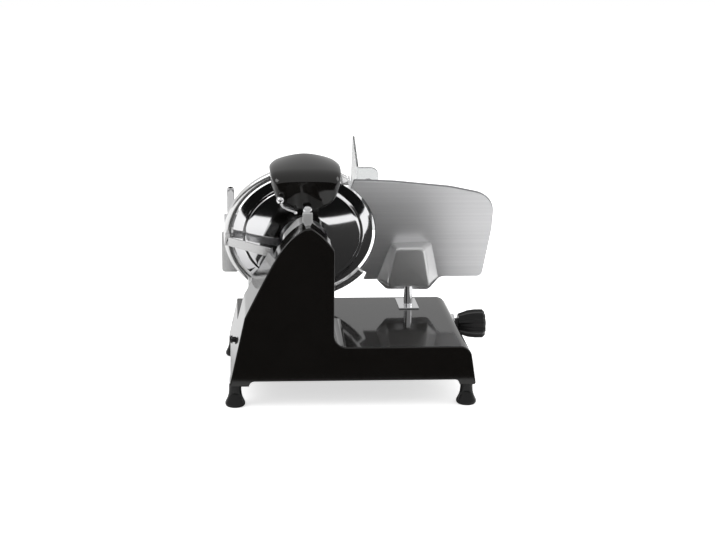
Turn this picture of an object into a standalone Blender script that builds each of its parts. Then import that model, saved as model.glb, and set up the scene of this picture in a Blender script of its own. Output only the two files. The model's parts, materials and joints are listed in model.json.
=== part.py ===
"""Gravity meat slicer with a 220 mm blade, as an assembly of separate pieces.

Metres, +Z up. +X points at the operator, +Y at the food carriage, and the front panel, where the
slices fall, faces -Y. Most pieces are placed from the machine's own corner (the body's left, front
and floor) or in the blade's tilted frame: local X as the machine's, local Y along the blade's axis
towards the food, local Z up along the blade's face.
"""
from math import acos, ceil, cos, hypot, pi, radians, sin, tan

import bmesh
import bpy
from mathutils import Vector

# Driving dimensions: the body
TILT = radians(22)
BODY_LEFT = 0.014
BODY_RIGHT = 0.382
BASE_DEPTH = 0.284
BASE_TOP = 0.092
LEG_BOTTOM = 0.033
SKIRT_BOTTOM = 0.041
LEG_WIDTH = 0.032
WALL = 0.004
EDGE_ROUND = 0.0025
TOWER_RIGHT = 0.171
TOWER_SHOULDER = 0.234
TOWER_APEX = 0.2777
TOWER_CAP_DEPTH = 0.048
TOWER_STEP = 0.222
TOWER_BACK = 0.095
GAP = 0.0003
SEAT_GAP = 0.0004

# The blade and its guard
HUB = Vector((0.134, BASE_DEPTH - 0.079, 0.217))
BLADE_RADIUS = 0.110
BLADE_BORE = 0.011
BEVEL_WIDTH = 0.0132
BLADE_NEAR = -0.0042
BLADE_FAR = 0.0012
NECK_RADIUS = 0.033
NECK_END = -0.014
BEARING_RADIUS = 0.0175
BEARING_WIDTH = 0.010
SHAFT_RADIUS = 0.0085
SHAFT_END = -0.127
FLANGE_RADIUS = 0.031
FLANGE_THICKNESS = 0.008
SEAT_RADIUS = 0.0345
DISH_START = 0.0440
DISH_END = 0.0895
DISH_DEPTH = 0.0088
SCREW_CIRCLE = 0.021
SCREW_RADIUS = 0.0025
SCREW_START = 92
GUARD_INNER = 0.1128
GUARD_OUTER = 0.1245
GUARD_NEAR = -0.004
GUARD_FAR = 0.006
GUARD_START = 58
GUARD_SWEEP = 265
COVER_RADIUS = 0.0865
COVER_THICKNESS = 0.002

# The slice deflector: a bar from the guard's left to the neck, further from the blade at its right
BAR_LEFT = -0.1175
BAR_NEAR = -0.0144
BAR_LEAN = -0.269
BAR_DROP = -0.160
BAR_TOP = 0.0050
BAR_HEIGHT = 0.0160
BAR_THICKNESS = 0.0024
DEFLECTOR_KNOB = (-0.046, -0.0155)
DEFLECTOR_BOSS = -0.0372

# The drive
PULLEY_RADIUS = 0.028
PULLEY_NEAR = -0.121
PULLEY_WIDTH = 0.012
MOTOR_X = -0.029
MOTOR_DROP = 0.072
MOTOR_RADIUS = 0.033
MOTOR_LENGTH = 0.068
MOTOR_PULLEY_RADIUS = 0.010
MOTOR_SHAFT_RADIUS = 0.004
BELT_THICKNESS = 0.002

# The gauge plate and its drive
PLATE_FAR = 0.0002
PLATE_THICKNESS = 0.005
PLATE_CLEARANCE = 0.004
PLATE_ARC = (50.5, -35.5)
COLUMN_X = BODY_RIGHT - 0.077
COLUMN_Y = BASE_DEPTH - 0.058
COLUMN_RADIUS = 0.007
COLUMN_TOP = 0.133
GAUGE_TRAVEL = 0.014
GAUGE_Z = 0.061
SLIDER_TOP = 0.074
ROD_RADIUS = 0.0045
KNOB_Y = BASE_DEPTH - 0.056
KNOB_RADIUS = 0.0235
KNOB_END = BODY_RIGHT + 0.048
KNOB_LENGTH = 0.043
LOBE_DEPTH = 0.12
SPIRAL_START = 0.005
SPIRAL_ANGLE = radians(300)
PIN_RADIUS = 0.0015
GROOVE_GAP = 0.0007
CAM_RADIUS = 0.0228
CAM_LEFT = BODY_RIGHT - 0.0605
CAM_WIDTH = 0.008

# The carriage and the pusher
RAIL_Y = BASE_DEPTH - 0.018
RAIL_Z = 0.058
RAIL_RADIUS = 0.007
SPIGOT_RADIUS = 0.0035
CARRIAGE_LEFT = 0.088
CARRIAGE_WIDTH = 0.066
CARRIAGE_TRAVEL = 0.200
SLOT_MARGIN = 0.003
ARM_THICKNESS = 0.008
TRAY_TOP = -0.078
TRAY_THICKNESS = 0.003
TRAY_LEFT = 0.031
TRAY_RIGHT = 0.218
TRAY_NEAR = 0.0125
TRAY_FAR = 0.152
SLIDE_ROD_X = -0.1135
SLIDE_ROD_W = -0.0145
SLIDE_ROD_RADIUS = 0.0045
PUSHER_REST = 0.0255
END_PLATE_NEAR = 0.0145
END_PLATE_FOOT = -0.083
LUG_HALF = 0.006
LUG_FOOT = -0.058
LUG_SHELF = -0.042

# The sharpener
ARM_BOTTOM = 0.2696
COVER_FRONT = -0.0725
COVER_BACK = 0.024
COVER_STUD_TOP = 0.1408
STONE_X = 0.002
STONE_W = 0.0985
STONE_RADIUS = 0.0095
LEVER_X = -0.016
LEVER_W = 0.0955
PRESS_BORE = 0.0028
BUTTON_STROKE = 0.003

# What stands on the floor
BOSS_RADIUS = 0.0095
STUD_RADIUS = 0.0040
STUD_TOP = 0.045
PLATE_BOTTOM = 0.0415
PLATE_GAUGE = 0.0018
FEET = {"front_left": (BODY_LEFT + 0.0115, 0.0150), "front_right": (BODY_RIGHT - 0.0120, 0.0150),
        "rear_left": (BODY_LEFT + 0.0115, BASE_DEPTH - 0.0150),
        "rear_right": (BODY_RIGHT - 0.0150, BASE_DEPTH - 0.0150)}

# What the body's sides carry
SWITCH_Y = 0.110
SWITCH_Z = 0.064
GLAND_Y = 0.112
GLAND_Z = 0.073


STEPS = 48
SMOOTH_ANGLE = radians(35)

# The machine's corner is moved so that the origin lies under the middle of the whole
END_PLATE_LEFT = HUB.x - 0.128
PLATE_REACH = 0.298
FAR_EDGE = HUB.y + TRAY_FAR * cos(TILT) - (TRAY_TOP - TRAY_THICKNESS) * sin(TILT)
CORNER = Vector((-(END_PLATE_LEFT + HUB.x + PLATE_REACH) / 2, -FAR_EDGE / 2, 0.0))

AXES = {"X": (1, 2, 0), "Y": (0, 2, 1), "Z": (0, 1, 2)}


def material(name, colour, metallic, roughness, alpha=1.0):
    """A Principled material in one plain colour."""
    made = bpy.data.materials.new(name)
    made.use_nodes = True
    shader = made.node_tree.nodes["Principled BSDF"]
    shader.inputs["Base Color"].default_value = (*colour, 1.0)
    shader.inputs["Metallic"].default_value = metallic
    shader.inputs["Roughness"].default_value = roughness
    shader.inputs["Alpha"].default_value = alpha
    return made


def empty(name, location, parent=None, tilt=0.0):
    """A frame that other pieces are placed in."""
    made = bpy.data.objects.new(name, None)
    made.parent = parent
    made.location = location
    made.rotation_euler.x = tilt
    bpy.context.collection.objects.link(made)
    return made


def place(flat, along, axis):
    """A point of an outline in the plane across the axis, at a distance along it."""
    point = [0.0, 0.0, 0.0]
    point[AXES[axis][0]], point[AXES[axis][1]] = flat
    point[AXES[axis][2]] = along
    return point


def finish(name, mesh, frame, finish_material, location=(0, 0, 0), bevel=0.0):
    """Turn a bmesh into a named object of its own, with its faces pointing out."""
    bmesh.ops.recalc_face_normals(mesh, faces=mesh.faces)
    data = bpy.data.meshes.new(name)
    mesh.to_mesh(data)
    mesh.free()
    data.shade_smooth()
    data.set_sharp_from_angle(angle=SMOOTH_ANGLE)
    made = bpy.data.objects.new(name, data)
    data.materials.append(finish_material or STEEL)
    made.parent = frame
    made.location = location
    bpy.context.collection.objects.link(made)
    if bevel:
        rounding = made.modifiers.new("rounded_edges", "BEVEL")
        rounding.width = bevel
        rounding.segments = 2
        rounding.limit_method = "ANGLE"
        rounding.angle_limit = SMOOTH_ANGLE
    return made


def rounded(corners, step=15):
    """An outline from corners given as (x, y, radius), its arcs in steps of some degrees."""
    outline = []
    count = len(corners)
    for index, (x, y, radius) in enumerate(corners):
        here = Vector((x, y))
        back = Vector(corners[index - 1][:2]) - here
        on = Vector(corners[(index + 1) % count][:2]) - here
        turn = pi - back.angle(on)
        if radius <= 0 or turn < 0.01:
            outline.append((x, y))
            continue
        reach = min(radius * tan(turn / 2), 0.49 * back.length, 0.49 * on.length)
        radius = reach / tan(turn / 2)
        start = here + back.normalized() * reach
        middle = here + (back.normalized() + on.normalized()).normalized() * hypot(radius, reach)
        side = 1 if back.cross(on) < 0 else -1
        pieces = max(2, ceil(turn / radians(step)))
        spoke = start - middle
        for part in range(pieces + 1):
            angle = side * turn * part / pieces
            outline.append((middle.x + spoke.x * cos(angle) - spoke.y * sin(angle),
                            middle.y + spoke.x * sin(angle) + spoke.y * cos(angle)))
    return outline


def inset(corners, distance):
    """The same corners moved inwards, for an outline that runs anticlockwise."""
    moved = []
    count = len(corners)
    for index, (x, y, radius) in enumerate(corners):
        here = Vector((x, y))
        before = (here - Vector(corners[index - 1][:2])).normalized()
        after = (Vector(corners[(index + 1) % count][:2]) - here).normalized()
        first = Vector((-before.y, before.x))
        second = Vector((-after.y, after.x))
        shift = (first + second) * (distance / (1 + first.dot(second)))
        convex = before.cross(after) > 0
        new_radius = max(radius - distance, 0.0) if convex else radius + distance
        moved.append((x + shift.x, y + shift.y, new_radius))
    return moved


def loft(name, first, second, low, high, axis, frame, finish_material=None, **options):
    """A solid between two outlines with the same number of points, at two places on an axis."""
    mesh = bmesh.new()
    near = [mesh.verts.new(place(point, low, axis)) for point in first]
    far = [mesh.verts.new(place(point, high, axis)) for point in second]
    mesh.faces.new(near)
    mesh.faces.new(list(reversed(far)))
    for index in range(len(near)):
        after = (index + 1) % len(near)
        mesh.faces.new((near[index], near[after], far[after], far[index]))
    return finish(name, mesh, frame, finish_material, **options)


def prism(name, outline, low, high, axis, frame, finish_material=None, **options):
    """A flat outline with a thickness along an axis."""
    return loft(name, outline, outline, low, high, axis, frame, finish_material, **options)


def box(name, low, high, frame, finish_material=None, **options):
    """A block between two corners."""
    outline = [(low[0], low[1]), (high[0], low[1]), (high[0], high[1]), (low[0], high[1])]
    return prism(name, outline, low[2], high[2], "Z", frame, finish_material, **options)


def turned(name, profile, axis, frame, finish_material=None, steps=STEPS, sweep=360, start=0, lobes=0, **options):
    """A profile of (radius, distance along the axis) turned about the axis, with grooves between lobes if asked."""
    mesh = bmesh.new()
    whole = sweep >= 360
    solid = profile[0][0] == 0.0 and profile[-1][0] == 0.0
    if solid:
        profile = profile[1:-1]
    rows = []
    for step in range(steps if whole else steps + 1):
        angle = radians(start + sweep * step / steps)
        size = 1 - LOBE_DEPTH * (1 - cos(lobes * angle)) / 2
        rows.append([mesh.verts.new(place((radius * size * cos(angle), radius * size * sin(angle)), along, axis))
                     for radius, along in profile])
    for step in range(steps):
        one = rows[step]
        two = rows[(step + 1) % len(rows)]
        for index in range(0 if solid else -1, len(profile) - 1):
            mesh.faces.new((one[index], two[index], two[index + 1], one[index + 1]))
    if solid:
        mesh.faces.new([row[0] for row in rows])
        mesh.faces.new([row[-1] for row in rows])
    if not whole:
        mesh.faces.new(rows[0])
        mesh.faces.new(rows[-1])
    return finish(name, mesh, frame, finish_material, **options)


def rod(name, radius, low, high, axis, frame, finish_material=None, steps=24, chamfer=0.0, **options):
    """A round bar, with its ends chamfered if asked."""
    profile = [(0.0, low), (radius - chamfer, low)]
    if chamfer:
        profile += [(radius, low + chamfer), (radius, high - chamfer)]
    profile += [(radius - chamfer, high), (0.0, high)]
    return turned(name, profile, axis, frame, finish_material, steps=steps, **options)


def tube(name, inner, outer, low, high, axis, frame, finish_material=None, steps=32, **options):
    """A round sleeve."""
    profile = [(inner, low), (outer, low), (outer, high), (inner, high)]
    return turned(name, profile, axis, frame, finish_material, steps=steps, **options)


def combine(target, tool, operation):
    """Cut a piece with a helper, join them or keep what they share."""
    step = target.modifiers.new(operation.lower(), "BOOLEAN")
    step.operation = operation
    step.solver = "EXACT"
    step.object = tool
    tool.hide_render = True
    tool.display_type = "WIRE"
    return target


def cut(target, *tools):
    """Take helpers away from a piece."""
    for tool in tools:
        combine(target, tool, "DIFFERENCE")
    return target


def fuse(target, *tools):
    """Join helpers to a piece."""
    for tool in tools:
        combine(target, tool, "UNION")
    return target


def in_machine(along, up):
    """Y and Z in the machine's frame of a point of the blade's frame."""
    return HUB.y + along * cos(TILT) - up * sin(TILT), HUB.z + along * sin(TILT) + up * cos(TILT)


def back_plane(height):
    """Where the tower's back, which is parallel to the blade, lies at a height."""
    return HUB.y - TOWER_BACK / cos(TILT) - (height - HUB.z) * tan(TILT)


def side_of_body(height):
    """X of the body's right side at a height."""
    return BODY_RIGHT - 0.0095 * (height - LEG_BOTTOM) / (BASE_TOP - LEG_BOTTOM)


def left_of_body(height):
    """X of the body's left side at a height."""
    return BODY_LEFT + (0.040 - BODY_LEFT) * (height - LEG_BOTTOM) / (0.138 - LEG_BOTTOM)


def front_corners(bottom):
    """The front panel's outline: tower with its arched top, and the low base beside it."""
    return [(left_of_body(bottom), bottom, 0.003), (side_of_body(bottom), bottom, 0.003),
            (side_of_body(BASE_TOP), BASE_TOP, 0.018),
            (TOWER_RIGHT, BASE_TOP, 0.022), (TOWER_RIGHT, TOWER_SHOULDER, 0.004),
            (HUB.x - 0.0039, TOWER_APEX, 0.018), (0.087, 0.229, 0.040), (0.040, 0.138, 0.120)]


def plan_corners():
    """The base's outline from above, with rounder corners at the back."""
    return [(BODY_LEFT - 0.02, 0.0, 0.0), (BODY_RIGHT, 0.0, 0.003), (BODY_RIGHT, BASE_DEPTH, 0.024),
            (BODY_LEFT - 0.02, BASE_DEPTH, 0.0)]


def space_behind_tower():
    """What is empty above the base: behind the blade's side of the tower, seen along X."""
    return [(TOWER_CAP_DEPTH, 0.40, 0.0), (TOWER_CAP_DEPTH, TOWER_STEP, 0.0),
            (back_plane(TOWER_STEP), TOWER_STEP, 0.0), (back_plane(BASE_TOP), BASE_TOP, 0.0),
            (BASE_DEPTH + 0.1, BASE_TOP, 0.0), (BASE_DEPTH + 0.1, 0.40, 0.0)]


def body_block(name, wall, bottom, frame, rounding):
    """The body's full shape, or its hollow where a wall is given."""
    front = rounded(inset(front_corners(bottom), wall), 12)
    block = prism(name, front, wall, BASE_DEPTH - wall, "Y", frame, ENAMEL, bevel=rounding)
    plan = prism(name + "_plan", rounded(inset(plan_corners(), wall)), -0.1, 0.5, "Z", frame)
    behind = prism(name + "_space", rounded(inset(space_behind_tower(), -wall)), -0.1, TOWER_RIGHT + 0.03, "X",
                   frame)
    combine(block, plan, "INTERSECT")
    return cut(block, behind)


def body_casting(machine, blade_frame):
    """Enamelled casting: hollow, open below, with the neck that carries the blade's shaft."""
    body = body_block("body_casting", 0.0, LEG_BOTTOM, machine, EDGE_ROUND)
    hollow = body_block("body_hollow", WALL, -0.05, machine, 0.0)
    for corner, (x, y) in FEET.items():
        cut(hollow, rod("foot_boss_" + corner, BOSS_RADIUS, -0.06, BASE_TOP, "Z", machine, location=(x, y, 0)))
    cut(body, hollow)
    neck = rod("neck_form", NECK_RADIUS, -TOWER_BACK - WALL / 2, NECK_END, "Y", blade_frame, steps=44)
    bore = rod("neck_bore", BEARING_RADIUS + GAP, -TOWER_BACK - 0.02, 0.02, "Y", blade_frame, steps=40)
    fuse(body, neck)
    under = [(BODY_LEFT + LEG_WIDTH, -0.02, 0), (BODY_RIGHT - LEG_WIDTH + 0.008, -0.02, 0),
             (BODY_RIGHT - LEG_WIDTH + 0.008, SKIRT_BOTTOM, 0.008), (BODY_LEFT + LEG_WIDTH, SKIRT_BOTTOM, 0.008)]
    side = [(LEG_WIDTH, -0.02, 0), (BASE_DEPTH - LEG_WIDTH, -0.02, 0),
            (BASE_DEPTH - LEG_WIDTH, SKIRT_BOTTOM, 0.008), (LEG_WIDTH, SKIRT_BOTTOM, 0.008)]
    cut(body, prism("skirt_arch_front", rounded(under), -0.05, 0.4, "Y", machine),
        prism("skirt_arch_side", rounded(side), -0.05, 0.5, "X", machine))
    slot_half = COLUMN_RADIUS + 0.001
    slot = [(COLUMN_X - slot_half, COLUMN_Y - GAUGE_TRAVEL - slot_half, slot_half),
            (COLUMN_X + slot_half, COLUMN_Y - GAUGE_TRAVEL - slot_half, slot_half),
            (COLUMN_X + slot_half, COLUMN_Y + slot_half, slot_half),
            (COLUMN_X - slot_half, COLUMN_Y + slot_half, slot_half)]
    slot_left = CARRIAGE_LEFT - SLOT_MARGIN
    slot_right = CARRIAGE_LEFT + CARRIAGE_WIDTH + CARRIAGE_TRAVEL + SLOT_MARGIN
    rear = [(slot_left, RAIL_Z - 0.009, 0.004), (slot_right, RAIL_Z - 0.009, 0.004),
            (slot_right, RAIL_Z + 0.009, 0.004), (slot_left, RAIL_Z + 0.009, 0.004)]
    cut(body, prism("column_slot", rounded(slot), BASE_TOP - 0.02, BASE_TOP + 0.02, "Z", machine),
        prism("carriage_slot", rounded(rear), BASE_DEPTH - 0.012, BASE_DEPTH + 0.02, "Y", machine),
        rod("knob_shaft_hole", 0.0046, BODY_RIGHT - 0.03, BODY_RIGHT + 0.01, "X", machine,
            location=(0, KNOB_Y, GAUGE_Z)),
        box("switch_hole", (BODY_RIGHT - 0.03, SWITCH_Y - 0.017, SWITCH_Z - 0.0105),
            (BODY_RIGHT + 0.01, SWITCH_Y + 0.017, SWITCH_Z + 0.0105), machine),
        rod("gland_hole", 0.0046, -0.02, 0.06, "X", machine, location=(0, GLAND_Y, GLAND_Z)),
        rod("spigot_hole", SPIGOT_RADIUS + GAP, FEET["rear_left"][0] - GAP, FEET["rear_right"][0] + GAP, "X", machine,
            location=(0, RAIL_Y, RAIL_Z)), bore)
    for corner, (x, y) in FEET.items():
        cut(body, rod("stud_hole_" + corner, STUD_RADIUS + GAP, LEG_BOTTOM - 0.01, STUD_TOP + GAP, "Z", machine,
                      location=(x, y, 0)))
    return body


def base_pieces(machine):
    """The plate that closes the body below, and the feet."""
    top = PLATE_BOTTOM + PLATE_GAUGE
    left = left_of_body(top) + WALL * 1.04 + GAP
    right = side_of_body(top) - WALL * 1.02 - GAP
    low = WALL + GAP
    high = BASE_DEPTH - WALL - GAP
    outline = [(left, low, 0.002), (right, low, 0.002), (right, high, 0.022), (left, high, 0.002)]
    plate = prism("base_plate", rounded(outline), PLATE_BOTTOM, top, "Z", machine, STEEL)
    cut(plate, box("cam_room", (CAM_LEFT - 0.004, KNOB_Y - CAM_RADIUS - 0.003, 0.0),
                   (CAM_LEFT + CAM_WIDTH + 0.003, KNOB_Y + CAM_RADIUS + 0.003, 0.1), machine))
    bell = [(0.0, 0.0), (0.0132, 0.0), (0.0149, 0.0022), (0.0149, 0.0055), (0.0132, 0.0092), (0.0112, 0.0135),
            (0.0097, 0.019), (0.0092, 0.025), (0.0092, LEG_BOTTOM - GAP), (STUD_RADIUS, LEG_BOTTOM - GAP),
            (STUD_RADIUS, STUD_TOP), (0.0, STUD_TOP)]
    for corner, (x, y) in FEET.items():
        turned("foot_" + corner, bell, "Z", machine, RUBBER, steps=32, location=(x, y, 0))
        cut(plate, rod("boss_room_" + corner, BOSS_RADIUS + SEAT_GAP, 0.0, 0.1, "Z", machine, location=(x, y, 0)))
    return plate


def hub_cover(machine):
    """Polished arched casting behind the tower's top."""
    arch = [(0.0985, TOWER_STEP + GAP, 0.0), (0.1685, TOWER_STEP + GAP, 0.0), (0.1685, 0.2345, 0.004),
            (HUB.x - 0.0039, TOWER_APEX - 0.0012, 0.018), (0.0985, 0.2415, 0.02)]
    return prism("hub_cover", rounded(arch, 10), TOWER_CAP_DEPTH + GAP, 0.0985, "Y", machine, POLISHED, bevel=0.003)


def blade_pieces(frame):
    """Everything that spins with the blade."""
    inner = BLADE_RADIUS - BEVEL_WIDTH
    top = BLADE_NEAR - DISH_DEPTH
    profile = [(BLADE_BORE, BLADE_NEAR), (SEAT_RADIUS, BLADE_NEAR), (SEAT_RADIUS + 0.0030, top), (DISH_START, top),
               (DISH_END, BLADE_NEAR - 0.0010), (DISH_END + 0.0020, BLADE_NEAR), (inner, BLADE_NEAR + 0.0006),
               (BLADE_RADIUS, -0.0003), (BLADE_RADIUS, 0.0), (inner + 0.002, BLADE_FAR),
               (inner - 0.006, BLADE_FAR), (inner - 0.010, BLADE_NEAR + 0.0034), (DISH_START + 0.002, top + 0.0032),
               (SEAT_RADIUS + 0.0045, top + 0.0032), (SEAT_RADIUS + 0.0015, BLADE_NEAR + 0.0034),
               (BLADE_BORE, BLADE_NEAR + 0.0034)]
    blade = turned("blade", profile, "Y", frame, MIRROR, steps=96)
    flange_far = BLADE_NEAR - GAP
    hub = turned("blade_shaft", [(0.0, SHAFT_END), (SHAFT_RADIUS - 0.0008, SHAFT_END),
                                 (SHAFT_RADIUS, SHAFT_END + 0.0008), (SHAFT_RADIUS, flange_far - FLANGE_THICKNESS),
                                 (FLANGE_RADIUS, flange_far - FLANGE_THICKNESS), (FLANGE_RADIUS, flange_far),
                                 (0.0, flange_far)], "Y", frame, STEEL, steps=48)
    for number in range(3):
        angle = radians(SCREW_START + 120 * number)
        spot = (SCREW_CIRCLE * cos(angle), 0.0, SCREW_CIRCLE * sin(angle))
        head = BLADE_NEAR + 0.0034
        screw = [(0.0, flange_far - 0.006), (SCREW_RADIUS, flange_far - 0.006), (SCREW_RADIUS, head + GAP),
                 (0.0048, head + GAP), (0.0048, head + 0.002), (0.0, head + 0.002)]
        turned("blade_screw_%d" % (number + 1), screw, "Y", frame, STEEL, steps=16, location=spot)
        hole = rod("screw_hole_%d" % (number + 1), SCREW_RADIUS + GAP, flange_far - 0.0065, 0.01, "Y", frame,
                   steps=16, location=spot)
        cut(blade, hole)
        cut(hub, hole)
    rim = PULLEY_RADIUS
    groove = [(SHAFT_RADIUS + GAP, PULLEY_NEAR), (rim, PULLEY_NEAR), (rim, PULLEY_NEAR + 0.0015),
              (rim - 0.0025, PULLEY_NEAR + 0.002), (rim - 0.0025, PULLEY_NEAR + PULLEY_WIDTH - 0.002),
              (rim, PULLEY_NEAR + PULLEY_WIDTH - 0.0015), (rim, PULLEY_NEAR + PULLEY_WIDTH),
              (SHAFT_RADIUS + GAP, PULLEY_NEAR + PULLEY_WIDTH)]
    turned("driven_pulley", groove, "Y", frame, PLASTIC, steps=36)
    return blade


def drive_pieces(blade_frame, motor_frame):
    """The motor, what it turns, the belt and the shaft's bearings."""
    for name, near in (("bearing_front", -TOWER_BACK + 0.003), ("bearing_rear", NECK_END - BEARING_WIDTH - 0.002)):
        tube(name, SHAFT_RADIUS + GAP, BEARING_RADIUS, near, near + BEARING_WIDTH, "Y", blade_frame, STEEL)
    back = PULLEY_NEAR - 0.004
    case = [(0.0, back - MOTOR_LENGTH), (MOTOR_RADIUS - 0.003, back - MOTOR_LENGTH),
            (MOTOR_RADIUS, back - MOTOR_LENGTH + 0.003), (MOTOR_RADIUS, back - 0.005),
            (MOTOR_RADIUS - 0.005, back), (MOTOR_SHAFT_RADIUS + GAP, back),
            (MOTOR_SHAFT_RADIUS + GAP, back - 0.020), (0.0, back - 0.020)]
    turned("motor_body", case, "Y", motor_frame, STEEL, steps=36)
    rim = MOTOR_PULLEY_RADIUS
    groove = [(0.0, back - 0.0195), (MOTOR_SHAFT_RADIUS, back - 0.0195), (MOTOR_SHAFT_RADIUS, PULLEY_NEAR),
              (rim + 0.002, PULLEY_NEAR), (rim + 0.002, PULLEY_NEAR + 0.0015),
              (rim, PULLEY_NEAR + 0.002), (rim, PULLEY_NEAR + PULLEY_WIDTH - 0.002),
              (rim + 0.002, PULLEY_NEAR + PULLEY_WIDTH - 0.0015), (rim + 0.002, PULLEY_NEAR + PULLEY_WIDTH),
              (0.0, PULLEY_NEAR + PULLEY_WIDTH)]
    turned("motor_pulley", groove, "Y", motor_frame, STEEL, steps=24)
    inside = belt_outline(GAP)
    outside = belt_outline(GAP + BELT_THICKNESS)
    low = PULLEY_NEAR + 0.0025
    high = PULLEY_NEAR + PULLEY_WIDTH - 0.0025
    belt = prism("drive_belt", outside, low, high, "Y", blade_frame, RUBBER)
    cut(belt, prism("belt_inside", inside, low - 0.01, high + 0.01, "Y", blade_frame))


def belt_outline(offset):
    """A loop round both pulleys' grooves, at a distance outside them."""
    large = PULLEY_RADIUS - 0.0025 + offset
    small = MOTOR_PULLEY_RADIUS + offset
    span = hypot(MOTOR_X, MOTOR_DROP)
    lean = Vector((MOTOR_X, -MOTOR_DROP)).angle_signed(Vector((1, 0)))
    open_angle = acos((large - small) / span)
    points = []
    for step in range(25):
        angle = lean + open_angle + (2 * pi - 2 * open_angle) * step / 24
        points.append((large * cos(angle), large * sin(angle)))
    for step in range(13):
        angle = lean - open_angle + 2 * open_angle * step / 12
        points.append((MOTOR_X + small * cos(angle), -MOTOR_DROP + small * sin(angle)))
    return points


def motor_bracket(machine, motor_frame):
    """A cradle under the motor, standing on the base plate."""
    floor = PLATE_BOTTOM + PLATE_GAUGE + GAP
    middle = PULLEY_NEAR - 0.004 - MOTOR_LENGTH / 2
    y, z = in_machine(middle, -MOTOR_DROP)
    cradle = box("motor_bracket", (HUB.x + MOTOR_X - 0.026, y - 0.006, floor),
                 (HUB.x + MOTOR_X + 0.026, y + 0.030, z - 0.008), machine, STEEL)
    room = rod("cradle_room", MOTOR_RADIUS + GAP, PULLEY_NEAR - 0.004 - MOTOR_LENGTH - 0.05, PULLEY_NEAR + 0.03, "Y",
               motor_frame, steps=36)
    return cut(cradle, room)


def guard_pieces(frame, machine):
    """The ring round the blade's edge, what holds it, the slice deflector and the food side's cover."""
    ring = [(GUARD_INNER, GUARD_NEAR), (GUARD_OUTER - 0.001, GUARD_NEAR), (GUARD_OUTER, GUARD_NEAR + 0.001),
            (GUARD_OUTER, GUARD_FAR), (GUARD_INNER, GUARD_FAR)]
    guard = turned("blade_guard", ring, "Y", frame, ALUMINIUM, steps=72, sweep=GUARD_SWEEP, start=GUARD_START)
    middle = (GUARD_INNER + GUARD_OUTER) / 2
    lean = radians(227)
    fuse(guard, rod("guard_post", 0.0058, -TOWER_BACK + GAP, GUARD_NEAR + 0.001, "Y", frame,
                    location=(middle * cos(lean), 0, middle * sin(lean))))
    y_low, z_low = in_machine(0.0, -GUARD_OUTER)
    stand = box("guard_stand", (HUB.x - 0.022, y_low - 0.012, BASE_TOP + GAP),
                (HUB.x + 0.018, y_low + 0.014, z_low + 0.014), machine, ALUMINIUM, bevel=0.001)
    room = [(0.0, GUARD_NEAR - GAP), (GUARD_OUTER + GAP, GUARD_NEAR - GAP), (GUARD_OUTER + GAP, GUARD_FAR + GAP),
            (0.0, GUARD_FAR + GAP)]
    cut(stand, turned("guard_room", room, "Y", frame, steps=96))
    behind = [(0.0, GUARD_FAR), (0.20, GUARD_FAR), (0.20, 0.08), (0.0, 0.08)]
    cut(stand, turned("tray_room", behind, "Y", frame, steps=24))
    deflector_pieces(frame)
    cover = [(0.0, GUARD_FAR + GAP), (COVER_RADIUS, GUARD_FAR + GAP), (COVER_RADIUS, GUARD_FAR + GAP + 0.001),
             (COVER_RADIUS - 0.002, GUARD_FAR + GAP + COVER_THICKNESS), (0.0, GUARD_FAR + GAP + COVER_THICKNESS)]
    plate = turned("blade_cover", cover, "Y", frame, ALUMINIUM, steps=72)
    ear = box("cover_ear", (-0.1235, GUARD_FAR + GAP, 0.010), (-0.080, GUARD_FAR + GAP + COVER_THICKNESS, 0.034), frame)
    fuse(plate, ear)
    grip = [(0.0, 0.0), (0.006, 0.0), (0.007, 0.001), (0.007, 0.004), (0.005, 0.005), (0.0, 0.005)]
    turned("cover_knob", grip, "Y", frame, PLASTIC, steps=20,
           location=(-0.1165, GUARD_FAR + 2 * GAP + COVER_THICKNESS, 0.022))


def deflector_pieces(frame):
    """The leaning bar that peels the slices off the blade, and the knob that holds it."""
    reach = NECK_RADIUS + SEAT_GAP
    right = -0.020
    turn = BAR_NEAR + BAR_LEAN * (right - BAR_LEFT)
    plan = [(BAR_LEFT, BAR_NEAR), (right, turn), (right, turn + BAR_THICKNESS), (BAR_LEFT, BAR_NEAR + BAR_THICKNESS)]
    bar = prism("slice_deflector", plan, -0.05, 0.02, "Z", frame, ALUMINIUM)
    low_end = BAR_TOP - BAR_HEIGHT
    face = [(BAR_LEFT - 0.001, low_end), (right, low_end + BAR_DROP * (right - BAR_LEFT)),
            (right, BAR_TOP + BAR_DROP * (right - BAR_LEFT)), (BAR_LEFT - 0.001, BAR_TOP)]
    combine(bar, prism("bar_face", face, -0.06, 0.0, "Y", frame), "INTERSECT")
    cut(bar, rod("neck_room", reach, -0.06, 0.0, "Y", frame, steps=44))
    x, w = DEFLECTOR_KNOB
    fuse(bar, box("deflector_foot", (BAR_LEFT - 0.0050, BAR_NEAR + 0.0005, low_end),
                  (BAR_LEFT + 0.0030, GUARD_NEAR - GAP, BAR_TOP), frame),
         rod("deflector_boss", 0.0060, DEFLECTOR_BOSS, DEFLECTOR_BOSS + 0.0040, "Y", frame, location=(x, 0, w)))
    far = DEFLECTOR_BOSS - GAP
    post = [(0.0, far - 0.008), (0.0062, far - 0.008), (0.0072, far - 0.006), (0.0072, far), (0.0, far)]
    turned("deflector_knob", post, "Y", frame, ALUMINIUM, steps=24, location=(x, 0, w))


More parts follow.
